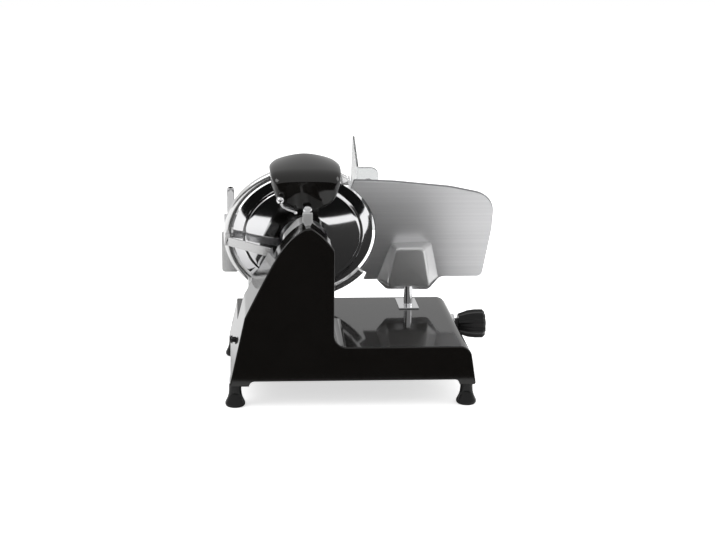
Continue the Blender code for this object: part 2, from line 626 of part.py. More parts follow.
def plate_outline():
    """The gauge plate: an arc beside the blade's edge, and a rounded far end."""
    arc = BLADE_RADIUS + PLATE_CLEARANCE
    corners = [(0.122, -0.0895, 0.012), (0.137, -0.107, 0.010), (0.206, -0.1085, 0.010), (0.222, -0.086, 0.012),
               (0.292, -0.084, 0.012), (PLATE_REACH, -0.010, 0.08), (PLATE_REACH - 0.002, 0.060, 0.022),
               (0.236, 0.081, 0.06), (0.130, 0.1005, 0.15), (0.074, 0.1025, 0.004)]
    outline = rounded(corners)
    for step in range(19):
        angle = radians(PLATE_ARC[0] + (PLATE_ARC[1] - PLATE_ARC[0]) * step / 18)
        outline.append((arc * cos(angle), arc * sin(angle)))
    heel = GUARD_OUTER + 0.003
    return outline + [(heel * cos(angle), heel * sin(angle)), (0.0995, -0.0870)]


def gauge_pieces(gauge, tilted):
    """The plate that sets the slice, its boss and column, and the slider inside the base."""
    near = PLATE_FAR - PLATE_THICKNESS
    prism("gauge_plate", plate_outline(), near, PLATE_FAR, "Y", tilted, BRUSHED, bevel=0.0008)
    wide = rounded([(0.131, -0.098, 0.006), (0.2065, -0.098, 0.006), (0.1985, -0.009, 0.006), (0.1395, -0.009, 0.006)])
    narrow = rounded([(0.139, -0.092, 0.006), (0.1995, -0.092, 0.006), (0.1885, -0.018, 0.006), (0.1495, -0.018, 0.006)])
    boss = loft("gauge_boss", narrow, wide, -0.0265, near - GAP, "Y", tilted, BRUSHED)
    cut(boss, rod("boss_bore", COLUMN_RADIUS + GAP, 0.0, COLUMN_TOP + GAP, "Z", gauge,
                  location=(COLUMN_X, COLUMN_Y, 0)))
    slider = box("gauge_slider", (COLUMN_X - 0.014, COLUMN_Y - 0.016, GAUGE_Z - 0.012),
                 (COLUMN_X + 0.0135, COLUMN_Y + 0.016, SLIDER_TOP), gauge, STEEL, bevel=0.0008)
    seat = SLIDER_TOP - 0.005
    cut(slider, rod("column_seat", COLUMN_RADIUS + GAP, seat, 0.1, "Z", gauge, location=(COLUMN_X, COLUMN_Y, 0)))
    cut(slider, rod("slider_bore", ROD_RADIUS + GAP, 0.1, 0.3, "Y", gauge, location=(COLUMN_X, 0, GAUGE_Z)))
    rod("gauge_column", COLUMN_RADIUS, seat + GAP, COLUMN_TOP, "Z", gauge, CHROME,
        location=(COLUMN_X, COLUMN_Y, 0), chamfer=0.0006, steps=32)
    low = BASE_TOP + GAP
    lid = box("slot_cover", (COLUMN_X - 0.016, COLUMN_Y - 0.019, low), (COLUMN_X + 0.016, COLUMN_Y + 0.043, low + 0.002),
              gauge, CHROME, bevel=0.0005)
    cut(lid, rod("lid_hole", COLUMN_RADIUS + GAP, 0.0, 0.2, "Z", gauge, location=(COLUMN_X, COLUMN_Y, 0)))
    pin_y = KNOB_Y - SPIRAL_START
    fuse(slider, rod("follower_pin", PIN_RADIUS, COLUMN_X + 0.012, CAM_LEFT + 0.0036, "X", gauge, steps=16,
                     location=(0, pin_y, GAUGE_Z)))


def gauge_guides(machine):
    """The two rods that the gauge slider runs on, and the bracket that hangs them under the base's top."""
    ends = (COLUMN_Y - GAUGE_TRAVEL - 0.022, COLUMN_Y + 0.022)
    ceiling = BASE_TOP - WALL - GAP
    frame = box("gauge_bracket", (COLUMN_X - 0.022, ends[0] - 0.006, GAUGE_Z - 0.010),
                (COLUMN_X + 0.0145, ends[1] + 0.006, ceiling), machine, ALUMINIUM)
    cut(frame, box("bracket_room", (COLUMN_X - 0.0168, ends[0], 0.02), (COLUMN_X + 0.05, ends[1], ceiling - 0.003),
                   machine),
        box("bracket_slot", (COLUMN_X - 0.009, ends[0] + 0.004, 0.05), (COLUMN_X + 0.05, ends[1] - 0.004, 0.2), machine))
    spot = (COLUMN_X, 0, GAUGE_Z)
    rod("gauge_rod", ROD_RADIUS, ends[0] - 0.005, ends[1] + 0.005, "Y", machine, STEEL, location=spot, steps=20)
    cut(frame, rod("rod_seat", ROD_RADIUS + GAP, ends[0] - 0.02, ends[1] + 0.02, "Y", machine, location=spot,
                   steps=20))


def knob_pieces(frame):
    """The thickness knob, its shaft and the spiral cam that moves the gauge."""
    start = side_of_body(GAUGE_Z) + 0.003
    cam = [(0.0, CAM_LEFT), (CAM_RADIUS - 0.0005, CAM_LEFT), (CAM_RADIUS, CAM_LEFT + 0.0005),
           (CAM_RADIUS, CAM_LEFT + CAM_WIDTH), (0.004, CAM_LEFT + CAM_WIDTH), (0.004, KNOB_END - 0.020),
           (0.0, KNOB_END - 0.020)]
    disc = turned("spiral_cam", cam, "X", frame, STEEL, steps=48)
    half = PIN_RADIUS + GROOVE_GAP
    inner = []
    outer = []
    for step in range(49):
        angle = -radians(28) + (SPIRAL_ANGLE + radians(36)) * step / 48
        radius = SPIRAL_START + GAUGE_TRAVEL * angle / SPIRAL_ANGLE
        inner.append(((radius - half) * cos(pi - angle), (radius - half) * sin(pi - angle)))
        outer.append(((radius + half) * cos(pi - angle), (radius + half) * sin(pi - angle)))
    cut(disc, prism("spiral_groove", inner + outer[::-1], CAM_LEFT - 0.001, CAM_LEFT + 0.0041, "X", frame))
    shape = [(0.0, KNOB_END - KNOB_LENGTH), (0.0165, KNOB_END - KNOB_LENGTH), (0.0220, KNOB_END - 0.028),
             (KNOB_RADIUS, KNOB_END - 0.016), (KNOB_RADIUS, KNOB_END - 0.004), (0.0200, KNOB_END), (0.0, KNOB_END)]
    grip = turned("thickness_knob", shape, "X", frame, PLASTIC, steps=72, lobes=9)
    fuse(grip, rod("knob_collar", 0.0095, start, KNOB_END - KNOB_LENGTH + 0.002, "X", frame, steps=32))
    cut(grip, rod("knob_bore", 0.004 + GAP, start - 0.01, KNOB_END - 0.020 + GAP, "X", frame))


def dial_ring(machine):
    """The plain index ring behind the knob, seated on the body's side."""
    face = side_of_body(GAUGE_Z)
    sleeve = tube("dial_ring", 0.010, 0.0165, face - 0.0032, face + 0.0026, "X", machine, CHROME, steps=40,
                  location=(0, KNOB_Y, GAUGE_Z))
    wedge = [(face - 0.02, SKIRT_BOTTOM), (side_of_body(SKIRT_BOTTOM) + GAP, SKIRT_BOTTOM),
             (side_of_body(BASE_TOP) + GAP, BASE_TOP), (face - 0.02, BASE_TOP)]
    return cut(sleeve, prism("side_wedge", wedge, 0.1, 0.3, "Y", machine))


def carriage_rail(machine):
    """The bar under the base's back edge that the carriage runs on, its ends seated in the rear bosses."""
    left = FEET["rear_left"][0]
    right = FEET["rear_right"][0]
    shoulder = BOSS_RADIUS + SEAT_GAP
    profile = [(0.0, left), (SPIGOT_RADIUS, left), (SPIGOT_RADIUS, left + shoulder), (RAIL_RADIUS, left + shoulder),
               (RAIL_RADIUS, right - shoulder), (SPIGOT_RADIUS, right - shoulder), (SPIGOT_RADIUS, right), (0.0, right)]
    return turned("carriage_rail", profile, "X", machine, STEEL, steps=28, location=(0, RAIL_Y, RAIL_Z))


def carriage_pieces(carriage, tilted):
    """The slider on the rail, the arm round the base's back, the tray, its guard and handle."""
    right = CARRIAGE_LEFT + CARRIAGE_WIDTH
    slider = box("carriage_slider", (CARRIAGE_LEFT, RAIL_Y - 0.0105, RAIL_Z - 0.0125),
                 (right, RAIL_Y + 0.0105, RAIL_Z + 0.0125), carriage, STEEL, bevel=0.001)
    cut(slider, rod("rail_bore", RAIL_RADIUS + GAP, 0.0, 0.4, "X", carriage, location=(0, RAIL_Y, RAIL_Z)))
    under = TRAY_TOP - TRAY_THICKNESS - GAP
    y_top, z_top = in_machine(0.052, under)
    y_out, z_out = in_machine(0.066, under)
    back = BASE_DEPTH + 0.006
    path = [(RAIL_Y + 0.0105 + GAP, RAIL_Z - 0.007), (back + ARM_THICKNESS, RAIL_Z - 0.007),
            (back + ARM_THICKNESS, z_out - 0.012), (y_out, z_out), (y_top, z_top), (back, z_top - 0.016),
            (back, RAIL_Z + 0.007), (RAIL_Y + 0.0105 + GAP, RAIL_Z + 0.007)]
    prism("carriage_arm", path, CARRIAGE_LEFT + 0.003, right - 0.003, "X", carriage, ALUMINIUM, bevel=0.0008)
    left_x = TRAY_LEFT - HUB.x
    right_x = TRAY_RIGHT - HUB.x
    section = [(left_x, TRAY_TOP - TRAY_THICKNESS, 0.004), (right_x, TRAY_TOP - TRAY_THICKNESS, 0.004),
               (right_x, 0.012, 0.0015), (right_x - TRAY_THICKNESS, 0.012, 0.0015), (right_x - TRAY_THICKNESS, TRAY_TOP, 0.002),
               (left_x + TRAY_THICKNESS, TRAY_TOP, 0.002), (left_x + TRAY_THICKNESS, -0.030, 0.0015),
               (left_x, -0.030, 0.0015)]
    tray = prism("tray", rounded(section), TRAY_NEAR, TRAY_FAR, "Y", tilted, POLISHED)
    end_left = END_PLATE_LEFT - HUB.x
    plate = [(end_left, END_PLATE_FOOT, 0.006), (left_x - GAP, END_PLATE_FOOT, 0.001), (left_x - GAP, -0.006, 0.003),
             (end_left, -0.006, 0.003)]
    end = prism("end_plate", rounded(plate), END_PLATE_NEAR, END_PLATE_NEAR + 0.004, "Y", tilted, ALUMINIUM)
    beside = SLIDE_ROD_X + LUG_HALF
    lug = [(SLIDE_ROD_X - LUG_HALF, LUG_FOOT, 0.003), (left_x + 0.001, LUG_FOOT, 0.0), (left_x + 0.001, LUG_SHELF, 0.0),
           (beside, LUG_SHELF, 0.002), (beside, -0.009, 0.003), (SLIDE_ROD_X - LUG_HALF, -0.009, 0.003)]
    fuse(tray, prism("rear_lug", rounded(lug), TRAY_FAR - 0.006, TRAY_FAR - 0.002, "Y", tilted),
         box("handle_tab", (right_x - 0.001, 0.081, -0.054), (right_x + 0.030, 0.089, -0.0483), tilted))
    spot = (SLIDE_ROD_X, 0, SLIDE_ROD_W)
    bore = rod("rod_bore", SLIDE_ROD_RADIUS + GAP, 0.0, TRAY_FAR + 0.01, "Y", tilted, location=spot)
    cut(end, bore)
    cut(tray, bore)
    rod("slide_rod", SLIDE_ROD_RADIUS, END_PLATE_NEAR + 0.0005, TRAY_FAR, "Y", tilted, CHROME, chamfer=0.0008,
        location=spot)
    clear_guard(tilted, right_x)


def clear_guard(tilted, wall):
    """The clear guard on the tray's right wall and the black handle behind it."""
    plan = [(wall + GAP, 0.040), (wall + 0.035, 0.040), (wall + 0.035, 0.043), (wall + GAP + 0.003, 0.043),
            (wall + GAP + 0.003, 0.137), (wall + GAP, 0.137)]
    shield = prism("hand_guard", plan, -0.020, 0.097, "Z", tilted, CLEAR)
    corner = [(wall - 0.03, -0.06, 0), (wall + 0.035, -0.06, 0), (wall + 0.035, 0.097, 0.014), (wall - 0.03, 0.097, 0)]
    combine(shield, prism("guard_form", rounded(corner), 0.02, 0.16, "Y", tilted), "INTERSECT")
    grip = [(0.0, -0.048), (0.0085, -0.048), (0.0105, -0.043), (0.0092, -0.020), (0.0092, 0.020), (0.0110, 0.036),
            (0.0085, 0.044), (0.0, 0.046)]
    turned("tray_handle", grip, "Z", tilted, PLASTIC, steps=28, location=(wall + 0.024, 0.085, 0))


def pusher_pieces(frame):
    """The slice pusher: a sleeve on the slide rod, an arm, the spiked plate and its grip."""
    low = PUSHER_REST
    rod_gap = SLIDE_ROD_RADIUS + GAP
    tube("pusher_collar", rod_gap, 0.0080, low - GAP - 0.0045, low - GAP, "Y", frame, ALUMINIUM, steps=28)
    sleeve = tube("pusher_sleeve", rod_gap, 0.0085, low, low + 0.022, "Y", frame, ALUMINIUM, steps=28)
    arm = [(0.006, -0.0055), (0.046, -0.0055), (0.046, 0.0055), (0.006, 0.0055)]
    fuse(sleeve, prism("pusher_arm", arm, low + 0.006, low + 0.014, "Y", frame))
    cut(sleeve, rod("sleeve_bore", rod_gap, 0.0, 0.06, "Y", frame, steps=28))
    left = 0.046 + GAP
    shape = [(left, -0.052, 0.006), (left + 0.118, -0.052, 0.006), (left + 0.118, 0.022, 0.010), (left, 0.022, 0.006)]
    plate = prism("pusher_plate", rounded(shape), low + 0.007, low + 0.012, "Y", frame, ALUMINIUM)
    for row in range(2):
        for column in range(5):
            spot = (left + 0.019 + 0.020 * column, 0, -0.040 + 0.030 * row)
            spike = [(0.0, low + 0.0035), (0.0012, low + 0.005), (0.0022, low + 0.0085), (0.0, low + 0.0085)]
            fuse(plate, turned("spike_%d_%d" % (row, column), spike, "Y", frame, steps=8, location=spot))
    grip = [(0.0, low + 0.012 + GAP), (0.007, low + 0.012 + GAP), (0.007, low + 0.022), (0.014, low + 0.030),
            (0.016, low + 0.040), (0.012, low + 0.048), (0.0, low + 0.050)]
    turned("pusher_grip", grip, "Y", frame, PLASTIC, steps=28, location=(left + 0.060, 0, -0.012))


def shield(wall):
    """The sharpener cover's outline across the blade's axis at its near end and, smaller, at its far end."""
    top = 0.151
    foot = 0.0885
    corners = [(0.0, foot, 0.012), (0.031, 0.100, 0.010), (0.0525, 0.136, 0.010), (0.049, 0.1475, 0.007),
               (0.0, top, 0.080)]
    corners += [(-x, w, r) for x, w, r in reversed(corners[1:4])]
    near = rounded(inset(corners, wall))
    return near, [(0.94 * x, w - 0.24 * (w - foot)) for x, w in near]


def sharpener_pieces(frame):
    """The cover, the housing over the blade's edge, both stones and what presses them."""
    wall = 0.0025
    cover = loft("sharpener_cover", *shield(0.0), COVER_FRONT, COVER_BACK, "Y", frame, ENAMEL, bevel=0.002)
    below = [(COVER_FRONT - 0.01, 0.05), (COVER_BACK + 0.02, 0.05), (COVER_BACK + 0.02, 0.1262), (-0.006, 0.1262),
             (-0.045, 0.100), (COVER_FRONT + 0.0005, 0.0885), (COVER_FRONT - 0.01, 0.0880)]
    cut(cover, loft("cover_hollow", *shield(wall), COVER_FRONT + wall, COVER_BACK - wall, "Y", frame),
        prism("cover_underside", below, -0.1, 0.1, "X", frame),
        box("arm_notch", (-0.0060, COVER_FRONT - 0.01, 0.07), (0.0060, COVER_FRONT + 0.024, 0.0950), frame),
        rod("button_hole", PRESS_BORE, COVER_FRONT - 0.01, COVER_FRONT + 0.03, "Y", frame, location=(STONE_X, 0, STONE_W)),
        rod("lever_hole", PRESS_BORE, COVER_FRONT - 0.01, COVER_FRONT + 0.03, "Y", frame,
            location=(LEVER_X, 0, LEVER_W)))
    leg = [(-0.050, 0.0925), (-0.020, 0.0925), (-0.020, 0.1270), (0.0150, 0.1270), (0.0150, 0.0915), (0.0200, 0.0915),
           (0.0200, 0.1305), (-0.050, 0.1305)]
    housing = prism("sharpener_housing", leg, -0.0185, 0.0185, "X", frame, ALUMINIUM, bevel=0.0006)
    fuse(housing, rod("cover_stud", 0.006, 0.129, COVER_STUD_TOP, "Z", frame, location=(0, -0.030, 0)))
    cut(housing, rod("stone_bore", PRESS_BORE, -0.08, -0.01, "Y", frame, location=(STONE_X, 0, STONE_W)),
        rod("deburr_bore", PRESS_BORE, 0.010, 0.030, "Y", frame, location=(LEVER_X, 0, STONE_W)),
        rod("lever_bore", PRESS_BORE, -0.08, -0.035, "Y", frame, location=(LEVER_X, 0, LEVER_W)))


def sharpening_button(frame):
    """The chrome button and the shaft that presses the grinding stone on the blade."""
    low = COVER_FRONT - 0.009
    seat = COVER_FRONT - BUTTON_STROKE
    profile = [(0.0, low), (0.0045, low), (0.0066, low + 0.002), (0.0066, seat - 0.0015), (0.0025, seat),
               (0.0025, -0.0148), (0.0, -0.0148)]
    button = turned("sharpening_button", profile, "Y", frame, CHROME, steps=28)
    spindle = turned("stone_spindle", [(0.0, -0.016), (0.0014, -0.016), (0.0014, -0.0090), (0.0, -0.0090)], "Y", frame,
                     steps=16)
    return fuse(button, spindle)


def stone(name, frame, low, high):
    """A small grinding wheel."""
    return turned(name, [(0.0014 + GAP, low), (STONE_RADIUS, low), (STONE_RADIUS, high), (0.0014 + GAP, high)], "Y",
                  frame, STONE, steps=32)


def deburr_pieces(lever_frame, stone_frame):
    """The lever with its ball, and the carrier of the deburring stone on the food side."""
    near = COVER_FRONT - 0.0095
    spindle = rod("deburr_lever", 0.0025, near, -0.0360, "Y", lever_frame, CHROME, steps=20)
    bend = [Vector((0.0, 0.0)), Vector((-0.010, -0.0015)), Vector((-0.019, 0.004)), Vector((-0.0235, 0.0125))]
    for index in range(3):
        one = bend[index]
        two = bend[index + 1]
        side = (two - one).normalized().orthogonal() * 0.0021
        strip = [one - side, two - side, two + side, one + side]
        shape = prism("lever_strip_%d" % index, [tuple(p) for p in strip], near, near + 0.004, "Y", lever_frame)
        fuse(spindle, shape)
        if index:
            fuse(spindle, rod("lever_joint_%d" % index, 0.0021, near, near + 0.004, "Y", lever_frame, steps=16,
                              location=(one.x, 0, one.y)))
    radius = 0.0060
    ball = [(radius * cos(radians(a)), near + 0.002 + radius * sin(radians(a))) for a in range(-90, 91, 15)]
    ball[0] = (0.0, ball[0][1])
    ball[-1] = (0.0, ball[-1][1])
    fuse(spindle, turned("lever_ball", ball, "Y", lever_frame, steps=24, location=(bend[3].x, 0, bend[3].y)))
    turned("deburr_carrier", [(0.0, 0.0074), (0.0014, 0.0074), (0.0014, 0.0140), (0.0025, 0.0140), (0.0025, 0.0270),
                              (0.0, 0.0270)], "Y", stone_frame, STEEL, steps=20)


def sharpener_arm(machine):
    """The faceted post on the tower's ridge, with the leaf that the sharpener sits against."""
    y_low, z_low = in_machine(-0.0503, 0.0905)
    y_high, z_high = in_machine(-0.0503, 0.0942)
    x = HUB.x
    front = [(x - 0.0040, ARM_BOTTOM), (x + 0.0040, ARM_BOTTOM), (x + 0.0085, ARM_BOTTOM + 0.0095),
             (x + 0.0085, ARM_BOTTOM + 0.0212), (x - 0.0085, ARM_BOTTOM + 0.0212), (x - 0.0085, ARM_BOTTOM + 0.0095)]
    post = prism("sharpener_arm", front, 0.020, 0.040, "Y", machine, ALUMINIUM, bevel=0.0008)
    leaf = [(0.030, ARM_BOTTOM + 0.0002), (0.100, ARM_BOTTOM + 0.0002), (y_low, z_low), (y_high, z_high),
            (0.100, ARM_BOTTOM + 0.0022), (0.030, ARM_BOTTOM + 0.0022)]
    return fuse(post, prism("arm_leaf", leaf, x - 0.0036, x + 0.0036, "X", machine))


def switch_pieces(machine, frames):
    """The switch in the body's right side, with its two buttons."""
    face = side_of_body(SWITCH_Z)
    block = box("switch_body", (face - 0.024, SWITCH_Y - 0.0167, SWITCH_Z - 0.0102),
                (face - 0.0012, SWITCH_Y + 0.0167, SWITCH_Z + 0.0102), machine, PLASTIC)
    for name, frame, offset, colour in (("on_button", frames[0], -0.0078, GREEN), ("off_button", frames[1], 0.0078, RED)):
        cut(block, box(name + "_room", (face - 0.010, SWITCH_Y + offset - 0.0066, SWITCH_Z - 0.0076),
                       (face + 0.02, SWITCH_Y + offset + 0.0066, SWITCH_Z + 0.0076), machine))
        box(name, (-0.0060, -0.0062, -0.0072), (0.0016, 0.0062, 0.0072), frame, colour, bevel=0.0008)
    return block


def cable_gland(machine):
    """The inlet for the mains lead, in the left flank."""
    face = left_of_body(GLAND_Z)
    profile = [(0.0, face - 0.0065), (0.0032, face - 0.0065), (0.0055, face - 0.0045), (0.0066, face - 0.0019),
               (0.0043, face - 0.0019), (0.0043, face + 0.008), (0.0, face + 0.008)]
    return turned("cable_gland", profile, "X", machine, RUBBER, steps=24, location=(0, GLAND_Y, GLAND_Z))


for old in list(bpy.data.objects):
    bpy.data.objects.remove(old)

ENAMEL = material("black_enamel", (0.012, 0.011, 0.010), 0.0, 0.12)
STEEL = material("steel", (0.55, 0.55, 0.56), 1.0, 0.35)
MIRROR = material("polished_blade", (0.75, 0.75, 0.76), 1.0, 0.10)
POLISHED = material("polished_aluminium", (0.80, 0.80, 0.81), 1.0, 0.18)
BRUSHED = material("brushed_aluminium", (0.62, 0.62, 0.63), 1.0, 0.38)
ALUMINIUM = material("cast_aluminium", (0.70, 0.70, 0.70), 1.0, 0.30)
CHROME = material("chrome", (0.85, 0.85, 0.86), 1.0, 0.06)
PLASTIC = material("black_plastic", (0.015, 0.015, 0.015), 0.0, 0.30)
RUBBER = material("rubber", (0.02, 0.02, 0.02), 0.0, 0.75)
CLEAR = material("clear_plastic", (0.92, 0.94, 0.95), 0.0, 0.08, 0.25)
STONE = material("grinding_stone", (0.45, 0.42, 0.40), 0.0, 0.90)
GREEN = material("green_plastic", (0.05, 0.35, 0.10), 0.0, 0.35)
RED = material("red_plastic", (0.55, 0.04, 0.03), 0.0, 0.35)

machine_frame = empty("machine", CORNER)
blade_axis = empty("blade_axis", HUB, machine_frame, TILT)
motor_axis = empty("motor_axis", (MOTOR_X, 0, -MOTOR_DROP), blade_axis)
gauge_frame = empty("gauge", (0, 0, 0), machine_frame)
gauge_tilted = empty("gauge_tilted", HUB, gauge_frame, TILT)
knob_axis = empty("knob_axis", (0, KNOB_Y, GAUGE_Z), machine_frame)
carriage_frame = empty("carriage", (0, 0, 0), machine_frame)
carriage_tilted = empty("carriage_tilted", HUB, carriage_frame, TILT)
pusher_axis = empty("pusher_axis", (SLIDE_ROD_X, 0, SLIDE_ROD_W), carriage_tilted)
sharpener_frame = empty("sharpener", HUB, machine_frame, TILT)
button_axis = empty("button_axis", (STONE_X, 0, STONE_W), sharpener_frame)
lever_axis = empty("lever_axis", (LEVER_X, 0, LEVER_W), sharpener_frame)
deburr_axis = empty("deburr_axis", (LEVER_X, 0, STONE_W), sharpener_frame)
switch_frames = [empty("switch_%d" % side, (side_of_body(SWITCH_Z), SWITCH_Y + 0.0078 * side, SWITCH_Z), machine_frame)
                 for side in (-1, 1)]

body_casting(machine_frame, blade_axis)
base_pieces(machine_frame)
hub_cover(machine_frame)
blade_pieces(blade_axis)
drive_pieces(blade_axis, motor_axis)
motor_bracket(machine_frame, motor_axis)
guard_pieces(blade_axis, machine_frame)
gauge_pieces(gauge_frame, gauge_tilted)
gauge_guides(machine_frame)
knob_pieces(knob_axis)
dial_ring(machine_frame)
carriage_rail(machine_frame)
carriage_pieces(carriage_frame, carriage_tilted)
pusher_pieces(pusher_axis)
sharpener_pieces(sharpener_frame)
sharpening_button(button_axis)
stone("grinding_stone", button_axis, -0.0140, -0.0085)
deburr_pieces(lever_axis, deburr_axis)
stone("deburring_stone", deburr_axis, 0.0080, 0.0134)
sharpener_arm(machine_frame)
switch_pieces(machine_frame, switch_frames)
cable_gland(machine_frame)
bpy.context.view_layer.update()
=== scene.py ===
# %% [markdown]
# A gravity meat slicer, dressed for its portrait.
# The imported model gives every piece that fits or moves, in metres. This file gives each piece the
# surface the real one shows. Where a casting needs softer edges than the frame has, it is modelled again
# in the same place, and the frame's piece stays behind for the physics.

# %% Load the frame
import json

from math import ceil, cos, degrees, radians, sin, tan

import bmesh
import bpy
from mathutils import Matrix, Vector


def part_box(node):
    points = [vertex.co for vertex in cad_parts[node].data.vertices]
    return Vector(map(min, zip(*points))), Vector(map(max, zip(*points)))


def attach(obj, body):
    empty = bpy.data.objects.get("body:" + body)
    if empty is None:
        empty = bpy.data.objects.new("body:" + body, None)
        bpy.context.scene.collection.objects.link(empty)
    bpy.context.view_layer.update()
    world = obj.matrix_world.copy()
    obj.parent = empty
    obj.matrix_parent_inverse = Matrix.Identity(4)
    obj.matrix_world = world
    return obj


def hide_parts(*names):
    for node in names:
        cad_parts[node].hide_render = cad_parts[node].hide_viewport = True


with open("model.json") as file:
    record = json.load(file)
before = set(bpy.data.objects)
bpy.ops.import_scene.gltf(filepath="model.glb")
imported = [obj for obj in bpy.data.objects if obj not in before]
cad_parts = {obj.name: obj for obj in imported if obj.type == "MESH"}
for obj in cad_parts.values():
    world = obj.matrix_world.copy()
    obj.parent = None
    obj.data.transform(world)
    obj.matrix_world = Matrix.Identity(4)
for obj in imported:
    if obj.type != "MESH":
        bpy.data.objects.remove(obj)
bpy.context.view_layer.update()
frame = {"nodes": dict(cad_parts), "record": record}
nodes = frame["nodes"]

# %% [markdown]
# Places are measured from the machine's own corner: the left end, the front panel and the floor. The
# blade stands in a frame of its own, tipped back by 22 degrees, and most of the metal parts line up with
# it. A matrix for each of the two turns such places into the frame's metres.

# %% The machine's corner and the blade's tilt
TILT = radians(22)
CORNER = Vector((-0.219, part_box("body_casting")[0].y, 0.0))
HUB_X, HUB_Y, HUB_Z = 0.134, 0.205, 0.217
HUB = CORNER + Vector((HUB_X, HUB_Y, HUB_Z))
BLADE_PLACE = Matrix.Translation(HUB) @ Matrix.Rotation(TILT, 4, "X")
MACHINE_PLACE = Matrix.Translation(CORNER)


def at_machine(x, y, z):
    """A place given from the machine's own corner."""
    return CORNER + Vector((x, y, z))


print("hub at", tuple(round(v, 4) for v in HUB))

# %% [markdown]
# The camera stands a little left of the machine, looks down by 14 degrees and has a long lens, which
# keeps the machine's upright lines nearly parallel. A sideways shift puts the machine where the
# photographer had it in the picture.

# %% Camera
LENS_IN_PIXELS = 1500
PICTURE_WIDTH = 716
MIDDLE_OF_LENS = 286
SENSOR = 36
LOOK_DOWN = 14
LOOK_RIGHT = 2
camera_data = bpy.data.cameras.new("portrait_lens")
camera_data.sensor_width = SENSOR
camera_data.lens = SENSOR * LENS_IN_PIXELS / PICTURE_WIDTH
camera_data.shift_x = (PICTURE_WIDTH / 2 - MIDDLE_OF_LENS) / PICTURE_WIDTH
camera = bpy.data.objects.new("portrait_camera", camera_data)
bpy.context.collection.objects.link(camera)
camera.location = at_machine(0.027, -2.102, 0.7345)
camera.rotation_euler = (radians(90 - LOOK_DOWN), 0, radians(-LOOK_RIGHT))
bpy.context.scene.camera = camera
print("lens", round(camera_data.lens, 1), "mm")

# %% [markdown]
# The studio is plain: a white surround, a white floor that keeps a soft shadow, and three large soft
# lamps. The surround is pure white to the camera and dimmer as a light, so that a white picture doesn't
# drown the machine in light.

# %% Studio surround
scene = bpy.context.scene
scene.view_settings.view_transform = "Standard"
AROUND = 0.62
WHITE = (1.0, 1.0, 1.0, 1.0)


def link(tree, from_socket, to_socket):
    """Join two sockets of a material's tree."""
    tree.links.new(from_socket, to_socket)


world = bpy.data.worlds.new("studio")
scene.world = world
world.use_nodes = True
sky = world.node_tree
sky.nodes.clear()
rays = sky.nodes.new("ShaderNodeLightPath")
seen = sky.nodes.new("ShaderNodeBackground")
seen.inputs["Strength"].default_value = 1.0
seen.inputs["Color"].default_value = WHITE
lit = sky.nodes.new("ShaderNodeBackground")
lit.inputs["Strength"].default_value = AROUND
lit.inputs["Color"].default_value = WHITE
pick = sky.nodes.new("ShaderNodeMixShader")
out = sky.nodes.new("ShaderNodeOutputWorld")
link(sky, rays.outputs["Is Camera Ray"], pick.inputs["Fac"])
link(sky, lit.outputs[0], pick.inputs[1])
link(sky, seen.outputs[0], pick.inputs[2])
link(sky, pick.outputs[0], out.inputs["Surface"])
print("surround: strength", AROUND, "as a light")

# %% [markdown]
# Black enamel is a mirror in disguise, and it shows what it faces, so a photographer lays a black board
# out of the picture to keep it black. The board here is seen only in reflections. The floor adds a glow
# for the camera alone, which brings it near to white and leaves the shadow on it.

# %% Floor and black board
def board(name, width, height, place, colour):
    """A flat matt board of the studio, lying face up before it is placed."""
    bpy.ops.mesh.primitive_plane_add(size=1)
    made = bpy.context.object
    made.name = name
    made.matrix_world = place @ Matrix.Diagonal((width, height, 1, 1))
    paint = bpy.data.materials.new(name)
    paint.use_nodes = True
    shader = paint.node_tree.nodes["Principled BSDF"]
    shader.inputs["Base Color"].default_value = (*colour, 1)
    shader.inputs["Roughness"].default_value = 0.9
    shader.inputs["Specular IOR Level"].default_value = 0.0
    made.data.materials.append(paint)
    return made


FLOOR_SIZE = 12
FLOOR_COLOUR = (0.9, 0.9, 0.9)
FLOOR_GLOW = 0.62
floor = board("floor", FLOOR_SIZE, FLOOR_SIZE, Matrix.Translation((0, 2, 0)), FLOOR_COLOUR)
floor_tree = floor.data.materials[0].node_tree
floor_rays = floor_tree.nodes.new("ShaderNodeLightPath")
floor_glow = floor_tree.nodes.new("ShaderNodeEmission")
floor_glow.inputs["Strength"].default_value = FLOOR_GLOW
floor_mix = floor_tree.nodes.new("ShaderNodeAddShader")
floor_pick = floor_tree.nodes.new("ShaderNodeMixShader")
floor_out = floor_tree.nodes["Material Output"]
floor_base = floor_tree.nodes["Principled BSDF"]
link(floor_tree, floor_base.outputs[0], floor_mix.inputs[0])
link(floor_tree, floor_glow.outputs[0], floor_mix.inputs[1])
link(floor_tree, floor_rays.outputs["Is Camera Ray"], floor_pick.inputs["Fac"])
link(floor_tree, floor_base.outputs[0], floor_pick.inputs[1])
link(floor_tree, floor_mix.outputs[0], floor_pick.inputs[2])
link(floor_tree, floor_pick.outputs[0], floor_out.inputs["Surface"])

BLACK = (0.005, 0.005, 0.005)
front_board = board("front_board", 7.0, 6.0, Matrix.Translation((0, -3.37, 0.004)), BLACK)
front_board.visible_camera = False
front_board.visible_diffuse = False
front_board.visible_shadow = False
print("floor", FLOOR_SIZE, "m wide, and", front_board.name)

# %% [markdown]
# The lamps stand to the left, above and to the right of the machine. The one above is kept out of the
# reflections, because the flat black top of the base would show it as a bright patch.

# %% Lamps
def lamp(name, place, aim, size, power):
    """A large soft lamp that points at a place."""
    data = bpy.data.lights.new(name, "AREA")
    data.shape = "RECTANGLE"
    data.size, data.size_y = size
    data.energy = power
    made = bpy.data.objects.new(name, data)
    bpy.context.collection.objects.link(made)
    made.location = place
    made.rotation_euler = (Vector(aim) - Vector(place)).to_track_quat("-Z", "Y").to_euler()
    return made


